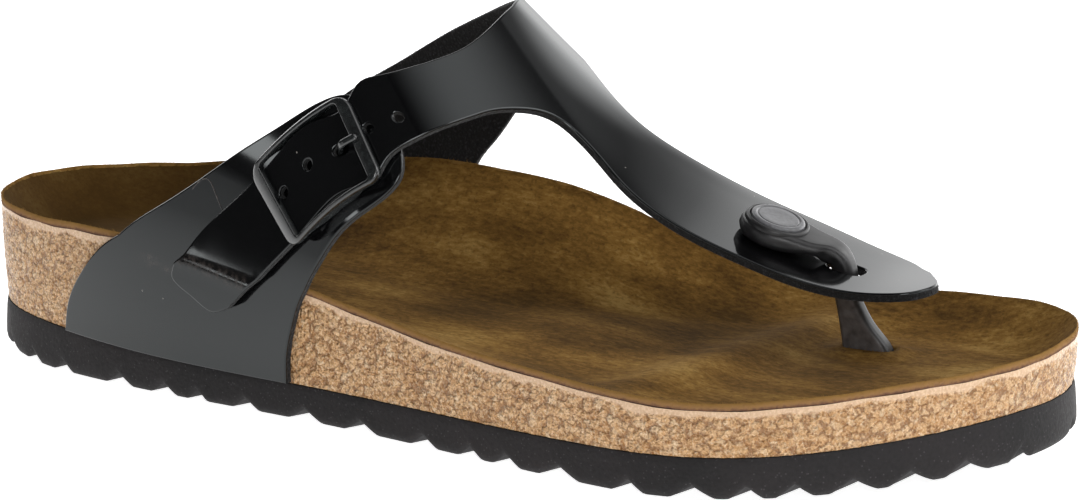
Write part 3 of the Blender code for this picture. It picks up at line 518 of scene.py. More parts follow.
class Shell:
    """Points, faces and finishes of one piece while it is made, in millimetres."""

    def __init__(self):
        self.points, self.marks, self.ways, self.faces, self.finishes = [], [], [], [], []

    def add(self, points, faces, mark=0.0, finish=0, way=(0, 0, 0)):
        """Adds points with a mark and, where known, the way that they face, and the faces between them."""
        start = len(self.points)
        points = np.asarray(points, float)
        self.marks.extend(np.broadcast_to(mark, points.shape[:-1]).ravel())
        self.ways.extend(np.broadcast_to(way, points.shape).reshape(-1, 3))
        self.points.extend(points.reshape(-1, 3))
        self.faces.extend([start + corner for corner in face] for face in faces)
        self.finishes.extend([finish] * len(faces))

    def grid(self, rows, mark=0.0, finish=0, way=(0, 0, 0), closed=False):
        """Quads over rows of points; closed rows join their two ends."""
        rows = np.asarray(rows, float)
        count, long = rows.shape[:2]
        faces = []
        for i in range(count - 1):
            for j in range(long if closed else long - 1):
                k = (j + 1) % long
                faces.append((i * long + j, i * long + k, (i + 1) * long + k, (i + 1) * long + j))
        self.add(rows, faces, mark, finish, way)

    def tube(self, rings, mark=0.0):
        """A closed tube through rings of equal count."""
        rings = np.asarray(rings, float)
        self.grid(rings, mark, closed=True)
        for ring in (rings[0], rings[-1]):
            self.add(ring, [range(len(ring))])


def face_known_way(data):
    """Gives the corners of patent faces the way that the surface faces there, for even reflections."""
    known = np.array([tuple(item.vector) for item in data.attributes["way"].data])
    normals = np.array([tuple(item.vector) for item in data.corner_normals])
    corners = np.array([loop.vertex_index for loop in data.loops])
    patent = np.zeros(len(corners), bool)
    for face in data.polygons:
        patent[face.loop_indices] = face.material_index == 0
    given = patent & (np.abs(known).sum(1) > 0)[corners]
    if given.any():
        normals[given] = known[corners[given]]
        data.normals_split_custom_set(normals)
    data.attributes.remove(data.attributes["way"])


def make_piece(name, shell, *materials, sharp=PLAIN_SHARP):
    """Welds a shell, points its faces outwards and makes it an object in the frame."""
    mesh = bmesh.new()
    mark = mesh.verts.layers.float.new("mark")
    way = mesh.verts.layers.float_vector.new("way")
    verts = []
    for point, value, faced in zip(shell.points, shell.marks, shell.ways):
        vert = mesh.verts.new((point + SHIFT) * MM)
        vert[mark], vert[way] = value, faced
        verts.append(vert)
    for corners, finish in zip(shell.faces, shell.finishes):
        mesh.faces.new([verts[i] for i in corners]).material_index = finish
    bmesh.ops.remove_doubles(mesh, verts=mesh.verts, dist=WELD * MM)
    bmesh.ops.recalc_face_normals(mesh, faces=mesh.faces)
    data = bpy.data.meshes.new(name)
    mesh.to_mesh(data)
    mesh.free()
    data.shade_smooth()
    data.set_sharp_from_angle(angle=math.radians(sharp))
    face_known_way(data)
    for material in materials:
        data.materials.append(material)
    piece = bpy.data.objects.new(name, data)
    bpy.context.scene.collection.objects.link(piece)
    return piece


def with_height(flat, height):
    """Joins x and y with a height for each point."""
    return np.concatenate([flat, np.broadcast_to(height, flat.shape[:-1])[..., None]], -1)


def groove_depth(stations):
    """How deep the grooves between the lugs are at each station."""
    depth = np.zeros(len(stations))
    for centre, half in GROOVES:
        share = np.clip(np.abs(stations - centre) / half, 0, 1)
        depth = np.maximum(depth, LUG_DEPTH * (1 - share) ** NOTCH_POWER)
    return depth


def notch_depth(side, angle):
    """How deep the notches round the toe are along one side's edge."""
    depth = np.zeros(len(angle))
    for where, station, half in TOE_NOTCHES:
        if where == side:
            away = np.hypot(*(outline(side, angle) - outline(side, turn(station))).T)
            depth = np.maximum(depth, LUG_DEPTH * (1 - np.clip(away / half, 0, 1)) ** NOTCH_POWER)
    return depth


def make_outsole(rubber):
    """Outsole: upright side that follows the footbed, rounded lug edges and wavy grooves across."""
    angle = np.linspace(0, math.pi, SOLE_STATIONS)
    depth = groove_depth(LENGTH / 2 * (1 - np.cos(angle)))
    cut = {side: np.maximum(depth, notch_depth(side, angle)) for side in SIDES}
    shell = Shell()
    lips = {}
    for side in SIDES:
        rows = []
        for inset, rise in SOLE_LIP:
            flat = outline(side, angle, inset)
            rows.append(with_height(flat, underside(flat[:, 0]) + cut[side] + rise))
        low = rows[-1][:, 2]
        top = outsole_top(outline(side, angle, BASE_INSET)[:, 0]) - GAP
        for share in np.linspace(0, 1, SOLE_SIDE_ROWS)[1:]:
            inset = np.interp(share, *columns(SOLE_SIDE))
            rows.append(with_height(outline(side, angle, inset), low + (top - low) * share))
        shell.grid(rows)
        lips[side] = rows
    across = np.linspace(0, 1, SOLE_ROWS)[:, None, None]
    sole = lips["lateral"][0] * (1 - across) + lips["medial"][0] * across
    sole[..., 0] += LUG_WAVE * np.sin(across[..., 0] * 2 * math.pi) * np.sin(angle) ** 2
    fade = across[..., 0]
    notches = np.maximum(cut["lateral"] * (1 - fade) ** 4, cut["medial"] * fade ** 4)
    sole[..., 2] = underside(sole[..., 0]) + np.maximum(depth, notches)
    shell.grid(sole)
    shell.grid([lips["lateral"][-1], lips["medial"][-1]])
    return make_piece("outsole_foam_rubber", shell, rubber)


def bed_grid(stations, rows, inset):
    """Points over the bed, from the lateral rim to the medial one."""
    angle = np.linspace(0, math.pi, stations)
    share = ((np.sin(np.linspace(-1, 1, rows) * math.pi / 2) + 1) / 2)[:, None, None]
    flat = outline("lateral", angle, inset) * (1 - share) + outline("medial", angle, inset) * share
    return with_height(flat, bed(flat[..., 0], flat[..., 1]))


def make_footbed(cork):
    """Cork footbed: sides of pressed granules with a smooth band under the lining."""
    angle = np.linspace(0, math.pi, CORK_STATIONS)
    top = bed_grid(CORK_STATIONS, CORK_TOP_ROWS, 0.0) - [0, 0, INSOLE + GAP / 2]
    shell = Shell()
    bases = []
    for side, rim in zip(SIDES, (top[0], top[-1])):
        base = outline(side, angle, BASE_INSET)
        base = with_height(base, outsole_top(base[:, 0]) - GAP / 2)
        rows, marks = [], []
        for share in np.linspace(0, 1, CORK_ROWS):
            flat = outline(side, angle, BASE_INSET * (1 - share) ** 2)
            row = with_height(flat, base[:, 2] + (rim[:, 2] - base[:, 2]) * share)
            below = rim[:, 2] - row[:, 2]
            out = unit(row[:, :2] - outline(side, angle, 1.0))
            for point, way, deep in zip(row, out, below):
                near, next_near = noise.voronoi(Vector(point / CORK_GRAIN))[0][:2]
                lump = min((next_near - near) / GRAIN_EDGE, 1) - 0.5
                point[:2] += way * CORK_RELIEF * lump * smooth_step(deep, BAND_PLAIN * CORK_BAND, CORK_BAND)
            rows.append(row)
            marks.append(below)
        shell.grid(rows, marks)
        bases.append(rows[0])
        rim[:] = rows[-1]
    shell.grid(top)
    shell.grid(bases)
    return make_piece("footbed_cork", shell, cork)


def make_insole(suede):
    """Suede lining with a soft rounded rim, whose mark is the drop below its top."""
    angle = np.linspace(0, math.pi, BED_STATIONS)
    top = bed_grid(BED_STATIONS, BED_ROWS, LINING_EDGE[0][0])
    station, y, long, wide, _ = BED_SLOT
    outside = np.clip(np.abs(top[..., :2] - [station, y]) - [long / 2, wide / 2], 0, None)
    top[..., 2] += SLOT_LIP * np.exp(-(np.hypot(*np.moveaxis(outside, -1, 0)) / SLOT_LIP_WIDE) ** 2)
    shell = Shell()
    # painted shade: the top's mark falls towards the heel, which darkens the lining there
    shell.grid(top, BED_MARK - smooth_step(top[..., 0], *HEEL_PAINTED_SHADE))
    low = {}
    for side, inner in zip(SIDES, (top[0], top[-1])):
        edge = outline(side, angle)
        height = bed(edge[:, 0], edge[:, 1])
        rows = [inner]
        for inset, drop in LINING_EDGE[1:]:
            rows.append(with_height(outline(side, angle, inset), height - drop))
        marks = np.array([drop for _, drop in LINING_EDGE])[:, None]
        shell.grid(rows, np.broadcast_to(marks, (len(rows), len(angle))))
        low[side] = rows[-1]
    under = bed_grid(BED_STATIONS, BED_ROWS, 0.0) - [0, 0, INSOLE]
    under[0], under[-1] = low["lateral"], low["medial"]
    shell.grid(under, INSOLE)
    insole = make_piece("insole_suede", shell, suede)
    cut_post_slot(insole)
    return insole


def rounded(long, wide, radius, corner, straight=1):
    """A rounded rectangle, anticlockwise, with points along its straight sides too."""
    points = []
    for k, (sx, sy) in enumerate(((1, 1), (-1, 1), (-1, -1), (1, -1))):
        for step in range(corner):
            angle = (k + step / (corner - 1)) * math.pi / 2
            points.append((sx * (long / 2 - radius) + radius * math.cos(angle),
                           sy * (wide / 2 - radius) + radius * math.sin(angle)))
    points = np.array(points)
    loop = []
    for i, (point, after) in enumerate(zip(points, np.roll(points, -1, axis=0))):
        parts = straight if i % corner == corner - 1 else 1
        loop += [point + (after - point) * part / parts for part in range(parts)]
    return np.array(loop)


def plain_mesh(piece):
    """Turns a piece with modifiers into a plain mesh without them."""
    graph = bpy.context.evaluated_depsgraph_get()
    made = bpy.data.meshes.new_from_object(piece.evaluated_get(graph))
    piece.modifiers.clear()
    piece.data = made
    return piece


def cut_post_slot(insole):
    """Cuts the hole for the toe post through the lining."""
    station, y, *sizes = BED_SLOT
    loop = rounded(*sizes, corner=6) + [station, y]
    shell = Shell()
    shell.tube([with_height(loop, height) for height in BED_SLOT_CUT])
    cutter = make_piece("post_slot_cutter", shell)
    cut = insole.modifiers.new("post slot", "BOOLEAN")
    cut.operation, cut.solver, cut.object = "DIFFERENCE", "EXACT", cutter
    plain_mesh(insole)
    bpy.data.objects.remove(cutter)


hump_share = spline(*columns(HUMP))
tail_height = spline(*columns(TAIL))


def strap_lift(station, girth):
    """Height of the T-strap above the last: up over the panel, with a hump over the buckle's centre bar."""
    along, across = from_buckle(station, girth)
    over = smooth_step(girth, LIFT_START, LIFT_END)
    stand = TAIL_STAND * tail_height(along) * np.clip(across / STRAP_IN_BUCKLE[1] + 0.5, 0, STAND_MOST)
    return GAP + (STRAP_LIFT + STRAP_HUMP * hump_share(along) + stand) * over


def strap_face(station, girth):
    """Height that the T-strap's reflections follow: the last's own sweep, with the tail tipped outwards."""
    along, across = from_buckle(station, girth)
    return GAP + tail_height(along - TAIL_SLANT * across) * smooth_step(girth, LIFT_START, LIFT_END)


def strap_sheen_band(station, girth):
    """How strongly the T-strap takes the pale colour and rougher lacquer: a band of painted sheen across the
    tail's bend.
    """
    along, across = from_buckle(station, girth)
    middle, half = TAIL_SHEEN
    band = np.exp(-((along - TAIL_SLANT * across - middle) / half) ** 2)
    return SCUFF_AND_SHEEN_SHARE * band * (girth < TAIL_GIRTH)


def panel_scuff(station, girth):
    """How far the panel is marked by scuffs: a few abraded spots."""
    spots = [np.exp(-((station - middle) / long) ** 2 - ((girth - around) / wide) ** 2)
             for middle, around, long, wide in PANEL_SCUFFS]
    return SCUFF_AND_SHEEN_SHARE * sum(spots)


def crease_rings(run):
    """Rings of a fine raised crease along a run on the panel's face."""
    run = smooth_run(run)
    path = over_last(*run.T, np.full(len(run), GAP + WALL))
    up = last_normal(*run.T)
    side = unit(np.cross(up, np.gradient(path, axis=0))) * CREASE_WIDE / 2
    rise = up * CREASE_WIDE / 4
    return np.stack([path - side, path + rise, path + side, path - rise], 1)


def panel_lift(station, girth):
    """The panel lies on the footbed."""
    return np.full(np.shape(station), GAP)


def into_strap(loop, hole):
    """Steps in station and girth that go a millimetre into the strap from each point of an edge."""
    place = last(*loop.T)
    run = np.roll(place, -1, axis=0) - np.roll(place, 1, axis=0)
    by_station, by_girth = last_slopes(*loop.T)
    side = unit(np.cross(np.cross(by_station, by_girth), run))
    pairs = (by_station, by_station), (by_station, by_girth), (by_girth, by_girth)
    ss, sg, gg = [(a * b).sum(1) for a, b in pairs]
    s, g = (side * by_station).sum(1), (side * by_girth).sum(1)
    step = np.column_stack([s * gg - g * sg, g * ss - s * sg]) / (ss * gg - sg * sg)[:, None]
    x, y = loop.T
    area = (x * np.roll(y, -1) - y * np.roll(x, -1)).sum()
    return step * math.copysign(1, area) * (-1 if hole else 1)


def face_way(station, girth, lift):
    """Unit vectors straight off a strap's face at that height."""
    def face(at, around):
        return over_last(at, around, lift(at, around) + WALL)

    by_station = face(station + SLOPE_STEP, girth) - face(station - SLOPE_STEP, girth)
    by_girth = face(station, girth + SLOPE_STEP) - face(station, girth - SLOPE_STEP)
    return unit(np.cross(by_station, by_girth))


def make_strap(name, loop, holes, lift, face, scuff_and_sheen, creases, patent, felt):
    """A strap cut to a loop on the last: round-edged patent face, with felt on its cut edge and back."""
    loops = [loop] + holes
    steps = [into_strap(edge, edge is not loop) for edge in loops]
    shell = Shell()
    inner = [edge + step * STRAP_EDGE[0][0] for edge, step in zip(loops, steps)]
    points, faces = sheet_facets(inner)
    base = lift(*points.T)
    shell.add(over_last(*points.T, base), faces, finish=1)
    shell.add(over_last(*points.T, base + WALL), faces, -scuff_and_sheen(*points.T), way=face_way(*points.T, face))
    for run in creases:
        shell.tube(crease_rings(run), -1.0)
    for edge, step in zip(loops, steps):
        rows = []
        for inset, height in STRAP_EDGE:
            row = edge + step * inset
            rows.append(over_last(*row.T, lift(*row.T) + height))
        fuzz = np.zeros((FELT_ROWS + 1, len(edge)))
        fuzz[1:-1] = 1.0
        shell.grid(rows[:FELT_ROWS + 1], fuzz, finish=1, closed=True)
        ways = np.zeros_like(rows[FELT_ROWS:])
        ways[-1] = face_way(*row.T, face)
        shell.grid(rows[FELT_ROWS:], way=ways, closed=True)
    return make_piece(name, shell, patent, felt, sharp=ROUND_SHARP)


def punched_hole(along, across, long, wide):
    """Edge of a hole through the strap, in station and girth."""
    ring = np.arange(HOLE_SIDES) * 2 * math.pi / HOLE_SIDES
    return np.column_stack(on_buckle(along + long / 2 * np.cos(ring), across + wide / 2 * np.sin(ring)))


def make_t_strap(patent, felt):
    """T-strap: medial arm, arm with tail through the buckle, and the strip to the toe post."""
    station, lateral, medial = columns(STRIP)
    tip = (STRIP_TIP[0], float(girth_at(*STRIP_TIP)))
    near = np.column_stack([station, girth_at(station, lateral)])
    far = np.column_stack([station, girth_at(station, medial)])
    foot = foot_run(*MEDIAL_FOOT, "medial")
    places, width = STRAP_IN_BUCKLE
    rear_edge = [on_buckle(place, -width / 2) for place in places]
    front_edge = [on_buckle(place, width / 2) for place in places]
    front = smooth_run([foot[-1], *STRAP_FRONT_MEDIAL, *far, tip, *near[::-1], *STRAP_FRONT_LATERAL[::-1],
                        *front_edge[::-1], *TAIL_FRONT[::-1]])
    tail = smooth_run([TAIL_FRONT[0], *TAIL_END[::-1], TAIL_REAR[0]])
    rear = smooth_run([*TAIL_REAR, *rear_edge, *STRAP_REAR, foot[0]])
    loop = np.vstack([foot[:-1], front[:-1], tail[:-1], rear[:-1]])
    slot_x, slot_y, *sizes = STRIP_SLOT
    slot = rounded(*sizes, corner=7) + [slot_x, slot_y]
    slot = np.column_stack([slot[:, 0], girth_at(*slot.T)])
    holes = [slot] + [punched_hole(*hole) for hole in (PRONG_HOLE,) + PUNCHED_HOLES]
    return make_strap("upper_t_strap_patent", loop, holes, strap_lift, strap_face, strap_sheen_band, [],
                      patent, felt)


def make_buckle_panel(patent, felt):
    """Side panel: up from the outsole over the footbed's side to a round end under the T-strap."""
    foot = foot_run(*PANEL_FOOT[::-1], "lateral")
    edge = smooth_run([foot[-1], *PANEL_REAR, *PANEL_FRONT[::-1], foot[0]])
    loop = np.vstack([edge[:-1], foot[:-1]])
    return make_strap("upper_buckle_panel_patent", loop, [], panel_lift, panel_lift, panel_scuff,
                      [PANEL_CREASE], patent, felt)


def buckle_ring(inset, height, window):
    """A loop round the buckle, at an inset from its outer edge or out from its window, at a height."""
    long, wide, radius = BUCKLE_LONG - 2 * inset, BUCKLE_WIDE - 2 * inset, BUCKLE_CORNER - inset
    if window:
        long, wide = BUCKLE_LONG - 2 * END_BAR + 2 * inset, BUCKLE_WIDE - 2 * SIDE_BAR + 2 * inset
        radius = WINDOW_CORNER + inset
    loop = rounded(long, wide, radius, corner=FRAME_CORNER, straight=FRAME_STRAIGHT)
    share = (height - BAR_LOW) / (BAR_HIGH - BAR_LOW)
    past = np.clip(-loop[:, 0] - BUCKLE_LONG / 2 + END_BAR, 0, END_BAR) / END_BAR
    deep = (BAR_LOW - CENTRE_LOW) * smooth_step(np.abs(loop[:, 0]), *SIDE_DEEP)
    return over_last(*on_buckle(*loop.T), height - END_FALL * past * share - deep * (1 - share) ** 2)


BUCKLE_SECTION = (
    # inset from the edge, height, whether from the window's edge
    (0.4, BAR_LOW, False), (0.1, BAR_LOW + 0.12, False), (0.0, BAR_LOW + 0.4, False), (0.0, 6.6, False),
    (0.1, 7.0, False), (0.28, 7.2, False), (0.55, BAR_HIGH, False), (0.3, BAR_HIGH, True), (0.12, 7.2, True),
    (0.0, 6.95, True), (0.0, BAR_LOW + 0.3, True), (0.08, BAR_LOW + 0.08, True), (0.25, BAR_LOW, True),
)


def make_buckle_frame(enamel):
    """Buckle: a rounded frame bent to follow the strap, with the centre bar between its deep side bars."""
    shell = Shell()
    rings = np.array([buckle_ring(*row) for row in BUCKLE_SECTION])
    shell.grid(np.concatenate([rings, rings[:1]]), closed=True)
    half = BUCKLE_WIDE / 2
    rings = []
    section = rounded(CENTRE_BAR, CENTRE_HIGH - CENTRE_LOW, CENTRE_ROUND, corner=SECTION_CORNER)
    for across in np.linspace(-half + SIDE_BAR / 2, half - SIDE_BAR / 2, CENTRE_RINGS):
        place = on_buckle(section[:, 0], np.full(len(section), across))
        rings.append(over_last(*place, section[:, 1] + (CENTRE_LOW + CENTRE_HIGH) / 2))
    shell.tube(rings)
    return make_piece("buckle_frame_enamel", shell, enamel, sharp=BUCKLE_SHARP)


def make_buckle_prong(enamel):
    """Prong: from the centre bar under the strap, up through its hole and over the end bar."""
    travelled = travel(np.array(PRONG_PATH))
    path = follow(np.array(PRONG_PATH), travelled, PRONG_RINGS)
    lean = unit(np.gradient(path, axis=0))
    steps = np.linspace(-travelled[-1], 0, PRONG_RINGS)
    past = np.clip(steps + PRONG_TIP, 0, None) / TIP_ROUND
    size = np.sqrt(np.clip(1 - past ** 2, TIP_LEAST, 1))
    ring = rounded(PRONG_THICK, PRONG_WIDE, PRONG_ROUND, corner=SECTION_CORNER)
    rings = []
    for (place, high), (run, rise), share in zip(path, lean, size):
        section = ring * share
        spot = on_buckle(place - rise * section[:, 0], section[:, 1])
        rings.append(over_last(*spot, high + run * section[:, 0]))
    shell = Shell()
    shell.tube(rings)
    return make_piece("buckle_prong_enamel", shell, enamel, sharp=ROUND_SHARP)


def post_section(long, width):
    """A rounded section of the toe post."""
    return rounded(long, width, min(POST_ROUND, width * POST_ROUND_SHARE), corner=POST_CORNER, straight=3)


def make_toe_post(rubber, plastic):
    """Toe post with its button: head and arm on the strip, bend into the slot, blade between the toes."""
    girth = girth_at(*HEAD_AT)
    head = np.array([*HEAD_AT, over_last(HEAD_AT[0], girth, GAP + WALL)[2] + 2 * GAP])
    run = unit(np.array([1, (STRIP_SLOT[1] - HEAD_AT[1]) / (STRIP_SLOT[0] - HEAD_AT[0]), HEAD_SLOPE]))
    across = unit(np.cross(last_normal(HEAD_AT[0], girth), run))
    upright = np.cross(run, across)
    rings = []
    for station, lift, width, share in POST_ARM:
        thick = HEAD_THICK * share
        middle = head + run * ((station - HEAD_AT[0]) / run[0]) + upright * (lift + thick / 2)
        loop = post_section(thick, width)
        rings.append(middle + loop[:, :1] * upright + loop[:, 1:] * across)
    for station, y, height, long, width, lean in POST_BLADE:
        tilt = math.radians(lean)
        forward = np.array([math.cos(tilt), 0, math.sin(tilt)])
        loop = post_section(long, width)
        rings.append(np.array([station, y, height]) + loop[:, :1] * forward + loop[:, 1:] * [0, 1, 0])
    rings = np.array(rings)
    travelled = travel(rings.mean(1))
    fine = follow(rings.reshape(len(rings), -1), travelled, POST_RINGS).reshape(POST_RINGS, -1, 3)
    seat = head + upright * HEAD_THICK
    angle = (np.arange(BUTTON_SIDES) * 2 * math.pi / BUTTON_SIDES)[:, None]
    spokes = np.cos(angle) * run + np.sin(angle) * across
    # painted sheen: the blade's broad face is marked for a paler grey, from its upper rows down
    sheen_starts = [travelled[len(POST_ARM) + row] for row in SHEEN_ROWS]
    blade = smooth_step(np.linspace(0, travelled[-1], POST_RINGS), *sheen_starts)
    outer = smooth_step(-loop[:, 1] / width, *SHEEN_FACE)
    shell = Shell()
    shell.tube(fine, np.outer(blade, outer))
    rings = [seat + upright * height + spokes * radius for radius, height in COLLAR + COLLAR[:1]]
    shell.grid(rings, closed=True)
    post = make_piece("toe_post_rubber", shell, rubber, sharp=ROUND_SHARP)
    shell = Shell()
    shell.tube([seat + upright * (height + GAP / 2) + spokes * radius for radius, height in BUTTON_PROFILE])
    return post, make_piece("toe_post_button_plastic", shell, plastic, sharp=ROUND_SHARP)


def linear(colour):
    """A hex sRGB colour as linear red, green, blue and alpha."""
    parts = [int(colour[i:i + 2], 16) / 255 for i in (1, 3, 5)]
    return (*[c / 12.92 if c <= 0.04045 else ((c + 0.055) / 1.055) ** 2.4 for c in parts], 1.0)


SHARE, FROM, TO = 0, 6, 7       # sockets of a mix of two colours


def output(source):
    """What to link from: a node stands for its first output in use, and anything else for itself."""
    if isinstance(source, bpy.types.Node):
        return next(socket for socket in source.outputs if socket.enabled)
    return source


def add(tree, kind, inputs=(), stops=(), **settings):
    """Adds a node, sets its properties and colour stops, and links or sets its inputs, by order or name."""
    made = tree.nodes.new(kind if "Node" in kind else "ShaderNode" + kind)
    for name, value in settings.items():
        setattr(made, name, value)
    for i, (position, colour) in enumerate(stops):
        elements = made.color_ramp.elements
        stop = elements[i] if i < len(elements) else elements.new(position)
        stop.position, stop.color = position, linear(colour)
    for key, value in inputs.items() if isinstance(inputs, dict) else enumerate(inputs):
        value = output(value)
        if isinstance(value, bpy.types.NodeSocket):
            tree.links.new(value, made.inputs[key])
        else:
            made.inputs[key].default_value = value
    return made


def start_material(name, **values):
    """A new material with plain values on its shader: material, tree, shader and the place on a piece."""
    material = bpy.data.materials.new(name)
    material.use_nodes = True
    tree = material.node_tree
    shader = tree.nodes["Principled BSDF"]
    for key, value in values.items():
        shader.inputs[key.replace("_", " ")].default_value = value
    return material, tree, shader, add(tree, "TexCoord").outputs["Object"]


def join(shader, **sources):
    """Links nodes to the shader's inputs."""
    for key, source in sources.items():
        shader.id_data.links.new(output(source), shader.inputs[key.replace("_", " ")])


def grained(name, grain, detail, stops, gloss=None, relief=None, **values):
    """A material whose one fine grain shades its colour, and its gloss and relief where they are given."""
    material, tree, shader, place = start_material(name, **values)
    skin = add(tree, "TexNoise", {"Vector": place, "Scale": PER_MM / grain, "Detail": detail})
    tone = add(tree, "ValToRGB", [skin], stops)
    join(shader, Base_Color=tone)
    if gloss:
        join(shader, Roughness=add(tree, "MapRange", (skin, 0, 1, *gloss)))
    if relief:
        strength, distance = relief
        bump = add(tree, "Bump", {"Height": skin, "Strength": strength, "Distance": distance * MM})
        join(shader, Normal=bump)
    return material, tree, shader, skin, tone


def patent_leather():
    """Patent leather: black under clear lacquer, mirror bright with faint ripples, dust, grey scuffs and a
    band of painted brownish sheen across the tail's bend.
    """
    material, tree, shader, place = start_material("patent leather, lacquered", IOR=1.5,
                                                   Specular_Tint=linear("#f5fbfc"))
    ripple = add(tree, "TexNoise", {"Vector": place, "Scale": PER_MM / 16, "Detail": 1.0})
    haze = add(tree, "TexNoise", {"Vector": place, "Scale": PER_MM / 22, "Detail": 3.0})
    dust = add(tree, "TexVoronoi", {"Vector": place, "Scale": PER_MM / 7.0})
    streak = add(tree, "TexNoise", {"Vector": place, "Scale": PER_MM / 1.1, "Detail": 4.0})
    mark = add(tree, "Attribute", attribute_name="mark").outputs["Fac"]
    speck = add(tree, "Math", (dust, 0.03), operation="LESS_THAN")
    dusty = add(tree, "Mix", {SHARE: speck, FROM: linear("#0a0a0b"), TO: linear("#77746e")}, data_type="RGBA")
    # marked places turn paler brownish grey and rougher: real scuffs and the panel's crease, and painted
    # sheen in the band across the tail's bend
    scuff_and_sheen = add(tree, "MapRange", (mark, 0.0, -1.0))
    broken_up = add(tree, "MapRange", (streak, 0.4, 0.65, 0.1, 0.9))
    share = add(tree, "Math", (scuff_and_sheen, broken_up), operation="MULTIPLY")
    scuff_and_sheen_colour = add(tree, "Mix", {SHARE: share, FROM: dusty, TO: linear("#5d534e")}, data_type="RGBA")
    gloss = add(tree, "MapRange", (haze, 0.35, 0.7, 0.05, 0.11))
    rough = add(tree, "Math", (share, 0.4, gloss), operation="MULTIPLY_ADD")
    bump = add(tree, "Bump", {"Height": ripple, "Strength": 0.3, "Distance": 0.03 * MM})
    join(shader, Base_Color=scuff_and_sheen_colour, Roughness=rough, Normal=bump)
    return material


def felt_lining():
    """Needle felt behind the patent: matt black, a soft mat of fibres with paler ones among them."""
    stops = (0.35, "#070708"), (0.58, "#161617"), (0.72, "#333236"), (0.85, "#47464b")
    return grained("needle felt, black", 0.6, 3.0, stops, relief=(0.9, 0.4), Roughness=1.0,
                   Sheen_Weight=0.1)[0]


def pressed_cork():
    """Pressed cork under clear lacquer: crumbly tan granules that glint, dark pits, a smooth latex band."""
    material, tree, shader, place = start_material("pressed cork, lacquered", IOR=1.45)
    wander = add(tree, "TexNoise", {"Vector": place, "Scale": PER_MM / 1.4, "Detail": 2.0})
    off = add(tree, "VectorMath", (wander.outputs["Color"], (0.5, 0.5, 0.5)), operation="SUBTRACT")
    moved = add(tree, "VectorMath", (off, (1.8 * MM,) * 3, place), operation="MULTIPLY_ADD")
    grain = add(tree, "TexVoronoi", {"Vector": moved, "Scale": PER_MM / 1.35})
    lumps = add(tree, "TexVoronoi", {"Vector": moved, "Scale": PER_MM / 1.35, "Smoothness": 0.25},
                feature="SMOOTH_F1")
    fine = add(tree, "TexNoise", {"Vector": place, "Scale": PER_MM / 0.55, "Detail": 3.0})
    broad = add(tree, "TexNoise", {"Vector": place, "Scale": PER_MM / 9, "Detail": 2.0})
    shade = add(tree, "SeparateColor", [grain.outputs["Color"]])
    tan = add(tree, "ValToRGB", [shade], (
        (0.0, "#b07c48"), (0.25, "#cd9f6d"), (0.6, "#ddb282"), (0.85, "#e8c398"), (1.0, "#f3d9b5")))
    flecks = add(tree, "ValToRGB", [fine], (
        (0.3, "#8a5a32"), (0.44, "#cd9f6d"), (0.58, "#e0b688"), (0.75, "#f8e6ca")))
    flecked = add(tree, "Mix", {SHARE: 0.5, FROM: tan, TO: flecks}, data_type="RGBA")
    hollow = add(tree, "Math", (fine, -0.6, lumps), operation="MULTIPLY_ADD")
    pit = add(tree, "MapRange", (hollow, 0.18, 0.45, 0.0, 0.66))
    pitted = add(tree, "Mix", {SHARE: pit, FROM: flecked, TO: linear("#7e532f")}, data_type="RGBA")
    below = add(tree, "Attribute", attribute_name="mark").outputs["Fac"]
    uneven = add(tree, "Math", (broad, -4.0, below), operation="MULTIPLY_ADD")
    edge = add(tree, "Math", (wander, 1.6, uneven), operation="MULTIPLY_ADD")
    band = add(tree, "MapRange", (edge, CORK_BAND - 1.6, CORK_BAND - 0.9))
    latex = add(tree, "ValToRGB", [fine], ((0.25, "#c6a282"), (0.75, "#dcbd9b")))
    colour = add(tree, "Mix", {SHARE: band, FROM: latex, TO: pitted}, data_type="RGBA")
    relief = add(tree, "Math", (lumps, -1.5, fine), operation="MULTIPLY_ADD")
    height = add(tree, "Math", (relief, band), operation="MULTIPLY")
    bump = add(tree, "Bump", {"Height": height, "Strength": 1.0, "Distance": 0.8 * MM})
    rough = add(tree, "MapRange", (fine, 0, 1, 0.12, 0.4))
    join(shader, Base_Color=colour, Roughness=rough, Normal=bump)
    return material


